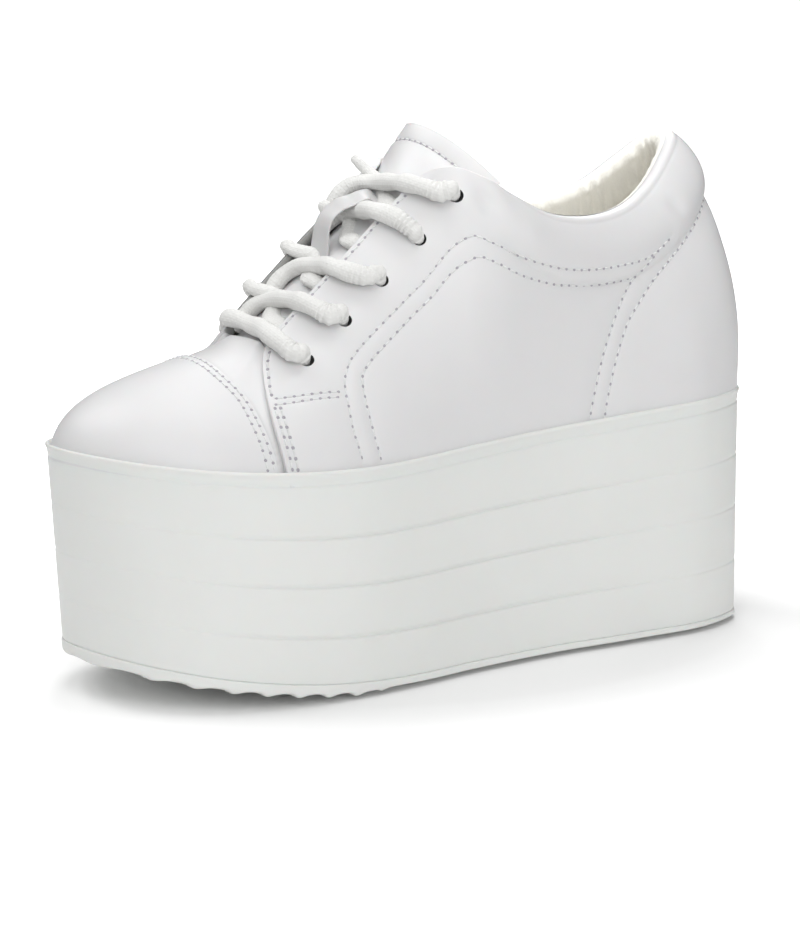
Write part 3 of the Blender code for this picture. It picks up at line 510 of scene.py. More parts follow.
# ---- the last -------------------------------------------------------------------------------
class Last:
    """The form that sole and upper share: outline, levels and the ribs of the upper.

    A place round the shoe is t: 0 at the heel, 1 at the toe by the outer side, and on to 2 at
    the heel again by the inner side. A place up the upper is share: 0 at the foot, 1 at the
    opening.
    """

    def __init__(self) -> None:
        """Work out the fine outline and a table of ribs that carries on past heel and toe."""
        rows = np.array(SOLE_PLAN + SOLE_PLAN[:1])
        knots = chord_knots(rows)
        at = np.linspace(0, knots[-1], PLAN_STEPS + 1)
        self.fine = spline(knots, rows, at, closed=True)
        self.run = lengths(self.fine)
        self.toe_run = float(np.interp(knots[TOE_ROW], at, self.run))
        table = np.array(RIBS)
        # Past the heel and the toe, half widths and turns change sign.
        mirror = np.array([1.0, 1.0, -1.0, 1.0, 1.0, 1.0, 1.0, 1.0, -1.0])
        before, after = table[2:0:-1] * mirror, table[-2:-4:-1] * mirror
        before[:, 0] = -before[:, 0]
        after[:, 0] = 2 - after[:, 0]
        self.table = np.vstack([before, table, after])

    def plan(self, t: Array, outward: Array | float = 0.0) -> Array:
        """Points of the sole's outline, moved out along its normal.

        Args:
            t: places round the shoe.
            outward: how far out in mm, one value or one for each place.

        Returns:
            (n, 2) points.
        """
        t = np.mod(t, 2.0)
        lap = self.run[-1]
        run = np.where(t <= 1, t * self.toe_run, lap - (2 - t) * (lap - self.toe_run))
        here, ahead, behind = (read_rows((run + shift) % lap, self.run, self.fine)
                               for shift in (0.0, PLAN_REACH, -PLAN_REACH))
        tangent = ahead - behind
        normal = unit(np.stack([-tangent[..., 1], tangent[..., 0]], axis=-1))
        return here + normal * np.broadcast_to(outward, run.shape)[..., None]

    @staticmethod
    def spring(x: Array) -> Array:
        """Rise of the whole sole towards the toe: a parabola from the ball on."""
        reach = np.clip((x - SPRING_FROM) / (LENGTH - SPRING_FROM), 0, None)
        return SPRING_RISE * reach**2

    def level(self, line: tuple[float, float, float], x: Array) -> Array:
        """Height of one of the sole's lines at x: a parabola through its heights, plus spring."""
        return np.polyval(np.polyfit((HEEL_X, BALL_X, TOE_X), line, 2), x) + self.spring(x)

    def ring(self, line: tuple[float, float, float], t: Array, outward: Array | float = 0.0,
             above: Array | float = 0.0) -> Array:
        """Points of the sole at a line's height, raked back at the toe towards the floor.

        Args:
            line: the line's heights at heel, ball and toe.
            t: places round the shoe.
            outward: how far out from the plan, in mm.
            above: how far above the line, in mm.

        Returns:
            (n, 3) points.
        """
        x, y = self.plan(t, outward).T
        floor = self.level(FLOOR_LINE, x)
        z = self.level(line, x) + above
        drop = 1 - (z - floor) / (self.level(LIP_TOP, x) - floor)
        reach = np.clip((x - TOE_RAKE_FROM) / (LENGTH - TOE_RAKE_FROM), 0, 1)
        return np.column_stack([x - TOE_RAKE * drop * reach**2, y, z])

    def ribs(self, t: Array) -> tuple[Array, Array, Array, Array]:
        """Control points of the ribs, each a cubic from the foot to the opening.

        Args:
            t: places round the shoe.

        Returns:
            (n, 3) points each: the foot, the ends of its two arms, and the rib's end.
        """
        t = np.mod(t, 2.0)
        side = np.where(t <= 1, 1.0, -1.0)
        read = spline(self.table[:, 0], self.table[:, 1:], folded(t))
        x, half, z, out, rise, low, high, turn = read.T
        inset = LIP_OUT - LIP_WALL - FOOT_CLEAR - OVERLAY
        plan = self.plan(t, inset)
        foot = np.column_stack([plan, self.level(LIP_TOP, plan[:, 0]) - CUP_DEPTH])
        end = np.column_stack([x, side * np.clip(half, 0, None), z])
        outward = self.plan(t, inset + 1.0) - plan
        lean, climb = np.radians(out), np.radians(rise)
        span = np.linalg.norm(end - foot, axis=1)
        start = np.column_stack([outward * np.sin(lean)[:, None], np.cos(lean)])
        across = end[:, :2] - foot[:, :2]
        reach = np.linalg.norm(across, axis=1, keepdims=True)
        blend = np.clip(reach / ARRIVE_REACH, 0, 1)
        ahead, aside = unit(-outward * (1 - blend) + across / np.maximum(reach, 1e-6) * blend).T
        swing = np.radians(turn) * -side
        inward = np.column_stack([ahead * np.cos(swing) - aside * np.sin(swing),
                                  ahead * np.sin(swing) + aside * np.cos(swing)])
        arrive = np.column_stack([inward * np.cos(climb)[:, None], np.sin(climb)])
        low_arm, high_arm = start * (span * low)[:, None], arrive * (span * high)[:, None]
        return foot, foot + low_arm, end - high_arm, end

    def skin(self, t: Array, share: Array) -> Array:
        """Points of the upper's base surface, the ribs' cubics.

        Args:
            t: (n,) places round the shoe.
            share: (n, m) places up each rib.

        Returns:
            (n, m, 3) points.
        """
        a, b, c, d = (p[:, None, :] for p in self.ribs(t))
        s = share[..., None]
        return (1 - s)**3 * a + 3 * (1 - s)**2 * s * b + 3 * (1 - s) * s**2 * c + s**3 * d

    def normals(self, t: Array, share: Array) -> Array:
        """Outward unit normals of the base surface: the cross product of its two directions."""
        ahead = self.skin(t + NORMAL_STEP, share) - self.skin(t - NORMAL_STEP, share)
        high, low = np.clip(share + NORMAL_STEP, 0, 1), np.clip(share - NORMAL_STEP, 0, 1)
        return unit(np.cross(self.skin(t, high) - self.skin(t, low), ahead))

    def locate(self, rows: list[tuple[float, float, float]] | Array) -> tuple[Array, Array]:
        """Nearest places on the outer side's skin, by a search and three least-squares steps.

        Args:
            rows: places near the skin.

        Returns:
            The t and the share of each.
        """
        wide, tall, step = 300, 120, 1e-3
        t, up = np.linspace(0.0, 1.0, wide), np.linspace(0.0, 1.0, tall)
        dense = self.skin(t, np.tile(up, (wide, 1))).reshape(-1, 3)
        want = np.asarray(rows, float)
        nearest = np.array([np.argmin(((dense - place)**2).sum(axis=1)) for place in want])
        at_t, at_s = t[nearest // tall], up[nearest % tall]
        for _ in range(3):
            here = self.skin(at_t, at_s[:, None])[:, 0]
            by_t = (self.skin(at_t + step, at_s[:, None])[:, 0] - here) / step
            by_s = (self.skin(at_t, at_s[:, None] + step)[:, 0] - here) / step
            gap = want - here
            a, b, c = (by_t**2).sum(1), (by_t * by_s).sum(1), (by_s**2).sum(1)
            p, q = (by_t * gap).sum(1), (by_s * gap).sum(1)
            det = np.maximum(a * c - b * b, 1e-6)
            at_t = np.clip(at_t + (c * p - b * q) / det, 0, 1)
            at_s = np.clip(at_s + (a * q - b * p) / det, 0, 1)
        return at_t, at_s


@dataclass
class Hole:
    """One eyelet hole: its middle on the dressed skin, the skin's normal and its side."""

    place: Array
    normal: Array
    side: Side


@dataclass
class Dress:
    """The leather as it lies on the last: seams, padding, creases and eyelets in one relief.

    Attributes:
        last: the form underneath.
        seams: stitch rows as rows of (t, share), both sides, by name.
        routes: the same rows and the panels' edges as fine lines in millimetres, by name.
        holes: the eyelet holes, those of the outer side first.
    """

    last: Last
    seams: dict[str, Array] = field(default_factory=dict)
    routes: dict[str, Array] = field(default_factory=dict)
    holes: list[Hole] = field(default_factory=list)

    def __post_init__(self) -> None:
        """Place the seams and the panels' edges on the last and punch the holes."""
        self.place_seams()
        self.place_edges()
        self.punch()

    def place_seams(self) -> None:
        """Lay each stitch row on the outer side's skin and repeat it on the inner side."""
        scale = (ROUND_MM, RIB_MM)
        for name, rows in SEAMS.items():
            row = even_curve(np.column_stack(self.last.locate(rows)) * scale, 240) / scale
            row[:, 1] = np.clip(row[:, 1], 0, 0.998)
            for side in Side:
                at = np.column_stack([side.placed(row[:, 0]), row[:, 1]])
                self.seams[f"{name}_{side.name.lower()}"] = at
                line = self.last.skin(at[:, 0], at[:, 1:])[:, 0]
                self.routes[f"{name}_{side.name.lower()}"] = line

    def place_edges(self) -> None:
        """Work out the quarters' front edges and the cap's back edge as lines on the skin."""
        share = np.linspace(0, 0.985, 200)
        for side, t in zip(Side, (self.edge_along(share), 2 - self.edge_along(share))):
            line = self.last.skin(t, share[:, None])[:, 0]
            self.routes[f"quarter_edge_{side.name.lower()}"] = line
        t = np.linspace(QUARTER_FRONT, 2 - QUARTER_FRONT, 500)
        self.routes["cap_edge"] = self.last.skin(t, self.cap_share(t)[:, None])[:, 0]

    def punch(self) -> None:
        """Find the holes: evenly spaced places, moved a little on each side, on the leather."""
        places = np.array(EYELET_FIRST) + EYELET_STEP * np.arange(EYELETS)[:, None]
        for side, moved in zip(Side, (OUTER_HOLES_UP, INNER_HOLES_BACK)):
            t, share = self.last.locate(places + moved)
            points, normals = self.dressed(side.placed(t), share[:, None], OVERLAY)
            self.holes += [Hole(p, n, side) for p, n in zip(points[:, 0], normals[:, 0])]

    @staticmethod
    def edge_along(share: Array) -> Array:
        """'Along' of the quarters' front edge at a share of its height."""
        table = np.array(QUARTER_EDGE)
        return np.interp(share, table[:, 0], table[:, 1])

    def cap_share(self, t: Array, ahead: float = 0.0) -> Array:
        """Share of each rib at the cap's back edge.

        The edge is a straight cross line near the sole that bows ahead by a smooth step as it
        climbs. It is where each rib, walked up from the foot, first comes behind that line.

        Args:
            t: places round the shoe.
            ahead: how far ahead of the edge, in mm.

        Returns:
            One share for each place.
        """
        trial = np.linspace(0, 1, 240)
        points = self.last.skin(t, np.tile(trial, (len(t), 1)))
        line = CAP_EDGE_X + CAP_BOW * smooth(points[..., 2], *CAP_BOW_BETWEEN) + ahead
        beyond = points[..., 0] - line
        first = np.argmax(beyond < 0, axis=1)
        rows = np.arange(len(t))
        before = np.maximum(first - 1, 0)
        a, b = beyond[rows, before], beyond[rows, first]
        part = np.where(first > 0, a / np.maximum(a - b, 1e-9), 0)
        return np.clip(trial[before] + part * trial[1], 0.0, 0.97)

    def gap_to(self, points: Array, *names: str, reach: float = 12.0) -> Array:
        """Distance from points to the nearest of some seams or edges.

        Args:
            points: places on or near the skin.
            names: how the lines' names begin.
            reach: the longest distance that counts, in mm.

        Returns:
            One distance for each point, no more than reach.
        """
        flat, batch = points.reshape(-1, 3), 4000
        best = np.full(len(flat), reach**2)
        for name, route in self.routes.items():
            if not name.startswith(names):
                continue
            low, high = route.min(axis=0) - reach, route.max(axis=0) + reach
            near = np.flatnonzero(((flat > low) & (flat < high)).all(axis=1))
            for chunk in np.array_split(near, max(1, len(near) // batch)):
                apart = ((flat[chunk, None, :] - route[None])**2).sum(axis=-1).min(axis=1)
                best[chunk] = np.minimum(best[chunk], apart)
        return np.sqrt(best).reshape(points.shape[:-1])

    def relief(self, points: Array, t: Array, share: Array, ends: Array) -> Array:
        """Height of the leather over the last, padding and seams included.

        The collar's padding is a power of half a sine wave down from the edge. Beside a seam the
        leather rises by one minus a bell, and a bell-shaped dent follows the seam itself. A
        crease is a bell-shaped valley with a low bank. The foot swells by a bell, and the inner
        throat lifts by a smooth step.

        Args:
            points: (n, m, 3) places on the last.
            t: (n,) or (n, m) places round the shoe.
            share: (n, m) places up the ribs.
            ends: (n, 3) or (n, m, 3) ends of the ribs.

        Returns:
            (n, m) heights in mm.
        """
        t = t[:, None] if t.ndim == 1 else t
        ends = ends[:, None, :] if ends.ndim == 2 else ends
        depth = np.clip(1 - np.linalg.norm(points - ends, axis=-1) / PAD_DEPTH, 0, 1)
        height = PAD_BULGE * np.maximum(np.sin(np.pi * depth**0.82), 0)**0.78 * collared(t)
        for names, rise, reach, dent, width in SEAM_KINDS:
            gap = self.gap_to(points, *names)
            height = height + rise * (1 - bell(gap, reach)) - dent * bell(gap, width)
        for middle, way, long, wide, deep in CREASES:
            away = points - middle
            run = away @ unit(np.array(way))
            across = np.sqrt(np.maximum((away**2).sum(axis=-1) - run**2, 0))
            valley = bell(across, wide) - 0.45 * bell(across - 2.0 * wide, wide)
            height = height - deep * bell(run, long) * valley
        along = folded(t)
        throat = smooth(along, CORNER_ALONG, CORNER_ALONG + 0.04) * (along < QUARTER_FRONT + 0.02)
        lift = INNER_LIFT * smooth(share, 0.87, 1.0) * throat * (np.mod(t, 2) > 1)
        return height + FOOT_SWELL * bell(share * RIB_MM, 5.0) + lift

    def dressed(self, t: Array, share: Array, raised: Array | float) -> tuple[Array, Array]:
        """The leather's outer face.

        Args:
            t: (n,) places round the shoe.
            share: (n, m) or (1, m) places up the ribs.
            raised: how far the leather lies above the last's relief, in mm.

        Returns:
            (n, m, 3) points, and the last's unit normals there.
        """
        share = np.broadcast_to(share, (len(t), share.shape[-1]))
        base, normal = self.last.skin(t, share), self.last.normals(t, share)
        height = self.relief(base, t, share, self.last.ribs(t)[3]) + raised
        return base + normal * np.asarray(height)[..., None], normal

    def leaned(self, t: Array, share: Array,
               raised: Array | float) -> tuple[Array, Array, Array]:
        """The leather's outer face for columns that lean, read between close upright columns.

        Args:
            t: (n, m) places round the shoe.
            share: (1, m) places up the ribs.
            raised: how far the leather lies above the last's relief, in mm.

        Returns:
            (n, m, 3) points, the last's unit normals and the ends of the ribs there.
        """
        columns = np.linspace(t.min() - 0.002, t.max() + 0.002, 1000)
        rows = np.broadcast_to(share, (len(columns), share.shape[-1]))
        ends = np.broadcast_to(self.last.ribs(columns)[3][:, None, :], (*rows.shape, 3))
        at = (t - columns[0]) / (columns[1] - columns[0])
        first = np.clip(at.astype(int), 0, len(columns) - 2)
        part, row = (at - first)[..., None], np.arange(t.shape[1])[None, :]
        upright = self.last.skin(columns, rows), self.last.normals(columns, rows), ends
        base, normal, end = (grid[first, row] * (1 - part) + grid[first + 1, row] * part
                             for grid in upright)
        height = self.relief(base, t, share, end) + raised
        return base + normal * np.asarray(height)[..., None], normal, end


# ---- finishes -------------------------------------------------------------------------------
@dataclass(frozen=True)
class Leather:
    """Smooth coated leather: colour and mottling, gloss, pores and wrinkles, and a dark colour for
    its cut edge that also paints shade beside edges.

    The relief's height and the light's reach under the skin are in metres.
    """

    colour: tuple[float, float, float] = (0.710, 0.708, 0.712)
    shade: tuple[float, float, float] = (0.672, 0.668, 0.676)
    roughness: float = 0.34
    grain: float = 0.05
    wrinkles: float = 0.12
    # raw: colour of cut edges, also used as painted shade along the vamp's edges and on the
    # throat's rim
    raw: tuple[float, float, float] = (0.22, 0.22, 0.21)
    vary: float = 0.10
    strength: float = 0.35
    relief: float = 0.0006
    coat: float = 0.12
    coat_roughness: float = 0.3
    under: float = 0.08
    under_reach: float = 0.002


@dataclass(frozen=True)
class Cloth:
    """Woven cloth: two thread colours, the weave's pitch and relief in metres, and its nap."""

    colour: tuple[float, float, float] = (0.985, 0.97, 0.91)
    shade: tuple[float, float, float] = (0.965, 0.945, 0.88)
    pitch: float = 0.0007
    depth: float = 0.35
    roughness: float = 0.85
    # raw: colour of the lining's cut edge at the throat, also painted there as shade
    raw: tuple[float, float, float] = (0.30, 0.30, 0.29)
    relief: float = 0.0004
    sheen: float = 0.35
    sheen_roughness: float = 0.4


@dataclass(frozen=True)
class Moulded:
    """Moulded foam or rubber: colour and mottling, gloss, and its skin's fine and slow relief.

    The relief's height and the light's reach under the skin are in metres.
    """

    colour: tuple[float, float, float] = (0.75, 0.76, 0.742)
    shade: tuple[float, float, float] = (0.71, 0.722, 0.70)
    roughness: float = 0.42
    mottle: float = 0.06
    fine: float = 0.05
    slow: float = 0.25
    strength: float = 0.3
    relief: float = 0.0008
    under: float = 0.1
    under_reach: float = 0.003


class Graph:
    """A small helper that adds shader nodes and links them."""

    def __init__(self, tree: bpy.types.NodeTree) -> None:
        """Work on one node tree."""
        self.tree = tree

    def node(self, kind: str, **settings: object) -> bpy.types.Node:
        """Add a node.

        Args:
            kind: the node's type.
            settings: options of the node, or values and sockets for its inputs.

        Returns:
            The new node.
        """
        made = self.tree.nodes.new(kind)
        for key, value in settings.items():
            if hasattr(made, key) and not isinstance(value, bpy.types.NodeSocket):
                setattr(made, key, value)
            else:
                self.put(self.socket(made, key.replace("_", " ")), value)
        return made

    def put(self, place: bpy.types.NodeSocket, value: object) -> None:
        """Link a socket to an input, or set the input to a value."""
        if isinstance(value, bpy.types.NodeSocket):
            self.tree.links.new(value, place)
        else:
            place.default_value = value

    def feed(self, node: bpy.types.Node, inputs: dict[str, object]) -> None:
        """Put values or sockets into a node's inputs by name."""
        for name, value in inputs.items():
            self.put(node.inputs[name], value)

    @staticmethod
    def socket(node: bpy.types.Node, name: str) -> bpy.types.NodeSocket:
        """An input by its name, whatever its case, or by its number as in 'in 0'."""
        if name.startswith("in "):
            return node.inputs[int(name[3:])]
        return next(s for s in node.inputs if s.name.lower() == name.lower() and s.enabled)

    def math(self, operation: str, *values: float | bpy.types.NodeSocket,
             clamp: bool = False) -> bpy.types.NodeSocket:
        """A sum on values or sockets.

        Args:
            operation: what the node works out.
            values: its inputs in order.
            clamp: whether the result is kept between 0 and 1.

        Returns:
            The result's socket.
        """
        made = self.tree.nodes.new("ShaderNodeMath")
        made.operation, made.use_clamp = operation, clamp
        for place, value in zip(made.inputs, values):
            self.put(place, value)
        return made.outputs[0]

    def mix(self, part: float | bpy.types.NodeSocket, first: object,
            second: object) -> bpy.types.NodeSocket:
        """A mix of two colours.

        Args:
            part: how much of the second.
            first: a colour or a socket.
            second: a colour or a socket.

        Returns:
            The mixed colour's socket.
        """
        made = self.tree.nodes.new("ShaderNodeMix")
        made.data_type = "RGBA"
        for index, value in ((0, part), (6, first), (7, second)):
            self.put(made.inputs[index], (*value, 1.0) if isinstance(value, tuple) else value)
        return made.outputs[2]


def node_group(name: str, inputs: dict[str, float]) -> tuple[Graph, bpy.types.Node,
                                                             bpy.types.Node]:
    """A new shader node group that turns a vector into a height.

    Args:
        name: the group's name.
        inputs: its float inputs with their usual values.

    Returns:
        The group's graph, its input node and its output node.
    """
    tree = bpy.data.node_groups.new(name, "ShaderNodeTree")
    tree.interface.new_socket("Vector", in_out="INPUT", socket_type="NodeSocketVector")
    for title, value in inputs.items():
        socket = tree.interface.new_socket(title, in_out="INPUT", socket_type="NodeSocketFloat")
        socket.default_value = value
    tree.interface.new_socket("Height", in_out="OUTPUT", socket_type="NodeSocketFloat")
    graph = Graph(tree)
    return graph, tree.nodes.new("NodeGroupInput"), tree.nodes.new("NodeGroupOutput")


def grain_group() -> bpy.types.NodeTree:
    """Leather grain: fine cells with pores, over slow soft wrinkles."""
    graph, source, sink = node_group("grain", {"Fine": 1.0, "Slow": 1.0})
    where = source.outputs["Vector"]
    cells = graph.node("ShaderNodeTexVoronoi", feature="SMOOTH_F1", Scale=1500.0, Randomness=1.0,
                       Vector=where)
    pores = graph.node("ShaderNodeTexNoise", Scale=900.0, Detail=3.0, Roughness=0.6, Vector=where)
    slow = graph.node("ShaderNodeTexNoise", Scale=70.0, Detail=2.0, Roughness=0.45, Vector=where)
    fine = graph.math("ADD", graph.math("MULTIPLY", cells.outputs["Distance"], 0.6),
                      graph.math("MULTIPLY", pores.outputs["Fac"], 0.4))
    height = graph.math("ADD", graph.math("MULTIPLY", fine, source.outputs["Fine"]),
                        graph.math("MULTIPLY", slow.outputs["Fac"], source.outputs["Slow"]))
    graph.put(sink.inputs["Height"], height)
    return graph.tree


def mottle_group() -> bpy.types.NodeTree:
    """Slow mottling from 0 to 1: handling marks and uneven gloss."""
    graph, source, sink = node_group("mottle", {"Scale": 40.0})
    first = graph.node("ShaderNodeTexNoise", Detail=4.0, Roughness=0.55,
                       Vector=source.outputs["Vector"], Scale=source.outputs["Scale"])
    spread = graph.math("MULTIPLY_ADD", first.outputs["Fac"], 2.4, -0.7, clamp=True)
    graph.put(sink.inputs["Height"], spread)
    return graph.tree


def weave_group() -> bpy.types.NodeTree:
    """Plain weave from surface coordinates: crossed sine ribs that take turns on top."""
    graph, source, sink = node_group("weave", {"Pitch": 0.0007})
    parts = graph.node("ShaderNodeSeparateXYZ")
    graph.put(parts.inputs[0], source.outputs["Vector"])
    waves = []
    for axis in ("X", "Y"):
        turn = graph.math("MULTIPLY", parts.outputs[axis], math.pi)
        waves.append(graph.math("SINE", graph.math("DIVIDE", turn, source.outputs["Pitch"])))
    first, second = waves
    both = graph.math("MULTIPLY", first, second)
    ribs = graph.math("ADD", graph.math("ABSOLUTE", first), graph.math("ABSOLUTE", second))
    height = graph.math("ADD", graph.math("MULTIPLY", both, 0.35),
                        graph.math("MULTIPLY", ribs, 0.4))
    graph.put(sink.inputs["Height"], height)
    return graph.tree


class Finishes:
    """Every material of the shoe, made once."""

    def __init__(self) -> None:
        """Make the shared node groups, then the materials."""
        self.groups = {"grain": grain_group(), "mottle": mottle_group(), "weave": weave_group()}
        self.leather = self.make_leather("white_leather", Leather())
        self.cap_leather = self.make_leather("toe_leather", Leather(roughness=0.42, wrinkles=0.05))
        self.tongue_leather = self.make_leather("tongue_leather", Leather(wrinkles=0.2))
        # The keeper is painted darker than the other leather to stand for the shade it lies in.
        self.keeper_leather = self.make_leather(
            "keeper_leather", Leather(colour=(0.60, 0.60, 0.60), shade=(0.54, 0.54, 0.54)))
        self.lining = self.make_cloth("cream_lining", Cloth())
        self.lace = self.make_cloth("lace_cotton", Cloth(
            colour=(0.77, 0.77, 0.755), shade=(0.70, 0.698, 0.68), pitch=0.0008, roughness=0.8))
        self.sole = self.make_moulded("sole_foam", Moulded())
        self.tread = self.make_moulded("tread_rubber", Moulded(roughness=0.5, mottle=0.1))
        self.thread = self.make_plain("thread", (0.80, 0.80, 0.80), 0.6)
        # Dark dots that paint the shade inside the needle holes.
        self.hole = self.make_plain("needle_hole", (0.42, 0.40, 0.44), 0.8)
        # Near black: the cut edges inside the eyelet holes, painted as dark as the shade in them.
        self.edge = self.make_plain("cut_edge", (0.10, 0.10, 0.10), 0.8)

    def start(self, name: str) -> tuple[bpy.types.Material, Graph, bpy.types.Node,
                                        bpy.types.NodeSocket]:
        """Start a material.

        Args:
            name: the material's name.

        Returns:
            The material, its graph, its shader and the socket of the piece's own coordinates.
        """
        material = bpy.data.materials.new(name)
        material.use_nodes = True
        graph = Graph(material.node_tree)
        where = graph.node("ShaderNodeTexCoord").outputs["Object"]
        return material, graph, graph.tree.nodes["Principled BSDF"], where

    def group(self, graph: Graph, name: str, vector: bpy.types.NodeSocket,
              **inputs: float) -> bpy.types.NodeSocket:
        """Use a shared group.

        Args:
            graph: the material's graph.
            name: the group's name.
            vector: where the pattern is read.
            inputs: the group's own values.

        Returns:
            The socket of its height.
        """
        made = graph.tree.nodes.new("ShaderNodeGroup")
        made.node_tree = self.groups[name]
        graph.feed(made, {"Vector": vector, **inputs})
        return made.outputs["Height"]

    def make_leather(self, name: str, look: Leather) -> bpy.types.Material:
        """Coated leather: subtle grain, slow wrinkles, gloss that varies and a faint cool shade.

        Args:
            name: the material's name.
            look: its values.

        Returns:
            The material.
        """
        material, graph, shader, where = self.start(name)
        mottle = self.group(graph, "mottle", where, Scale=45.0)
        tint = graph.mix(graph.math("MULTIPLY", mottle, 0.4), look.colour, look.shade)
        # Where the mark read below is set the colour goes to raw: cut edges, and painted shade
        # along edges and on the throat's rim.
        cut = graph.node("ShaderNodeAttribute", attribute_name="cut").outputs["Fac"]
        height = self.group(graph, "grain", where, Fine=look.grain, Slow=look.wrinkles)
        bump = graph.node("ShaderNodeBump", Strength=look.strength, Distance=look.relief,
                          Height=height)
        graph.feed(shader, {
            "Base Color": graph.mix(cut, tint, look.raw),
            "Roughness": graph.math("MULTIPLY_ADD", mottle, look.vary, look.roughness),
            "Normal": bump.outputs[0],
            "Coat Weight": look.coat, "Coat Roughness": look.coat_roughness,
            "Subsurface Weight": look.under, "Subsurface Scale": look.under_reach})
        return material

    def make_cloth(self, name: str, look: Cloth) -> bpy.types.Material:
        """Woven cloth on the piece's own surface coordinates, with soft sheen.

        Args:
            name: the material's name.
            look: its values.

        Returns:
            The material.
        """
        material, graph, shader, where = self.start(name)
        surface = graph.node("ShaderNodeUVMap", uv_map="surface").outputs[0]
        weave = self.group(graph, "weave", surface, Pitch=look.pitch)
        mottle = self.group(graph, "mottle", where, Scale=120.0)
        tone = graph.math("ADD", graph.math("MULTIPLY", weave, 0.5),
                          graph.math("MULTIPLY", mottle, 0.3), clamp=True)
        # The mark read below paints the dark raw colour: painted shade on the lining near the
        # throat, over its cut edge.
        cut = graph.node("ShaderNodeAttribute", attribute_name="cut").outputs["Fac"]
        bump = graph.node("ShaderNodeBump", Strength=look.depth, Distance=look.relief,
                          Height=weave)
        graph.feed(shader, {
            "Base Color": graph.mix(cut, graph.mix(tone, look.shade, look.colour), look.raw),
            "Roughness": look.roughness, "Normal": bump.outputs[0],
            "Sheen Weight": look.sheen, "Sheen Roughness": look.sheen_roughness})
        return material

    def make_moulded(self, name: str, look: Moulded) -> bpy.types.Material:
        """Moulded sole: satin skin with slow mottling in tone and gloss, and very fine texture.

        Args:
            name: the material's name.
            look: its values.

        Returns:
            The material.
        """
        material, graph, shader, where = self.start(name)
        mottle = self.group(graph, "mottle", where, Scale=28.0)
        fine = graph.node("ShaderNodeTexNoise", Scale=2200.0, Detail=2.0, Vector=where)
        slow = graph.node("ShaderNodeTexNoise", Scale=26.0, Detail=1.0, Vector=where)
        height = graph.math("ADD", graph.math("MULTIPLY", fine.outputs["Fac"], look.fine),
                            graph.math("MULTIPLY", slow.outputs["Fac"], look.slow))
        bump = graph.node("ShaderNodeBump", Strength=look.strength, Distance=look.relief,
                          Height=height)
        graph.feed(shader, {
            "Base Color": graph.mix(graph.math("MULTIPLY", mottle, 0.5), look.colour, look.shade),
            "Roughness": graph.math("MULTIPLY_ADD", mottle, look.mottle, look.roughness),
            "Normal": bump.outputs[0],
            "Subsurface Weight": look.under, "Subsurface Scale": look.under_reach})
        return material

    def make_plain(self, name: str, colour: tuple[float, float, float],
                   roughness: float) -> bpy.types.Material:
        """A small part's finish: one colour broken up by fine noise.

        Args:
            name: the material's name.
            colour: its colour; the noise takes it down by a fifth.
            roughness: its gloss.

        Returns:
            The material.
        """
        material, graph, shader, where = self.start(name)
        mottle = self.group(graph, "mottle", where, Scale=700.0)
        darker = (colour[0] * 0.8, colour[1] * 0.8, colour[2] * 0.8)
        graph.feed(shader, {"Base Color": graph.mix(mottle, colour, darker),
                            "Roughness": roughness})
        return material


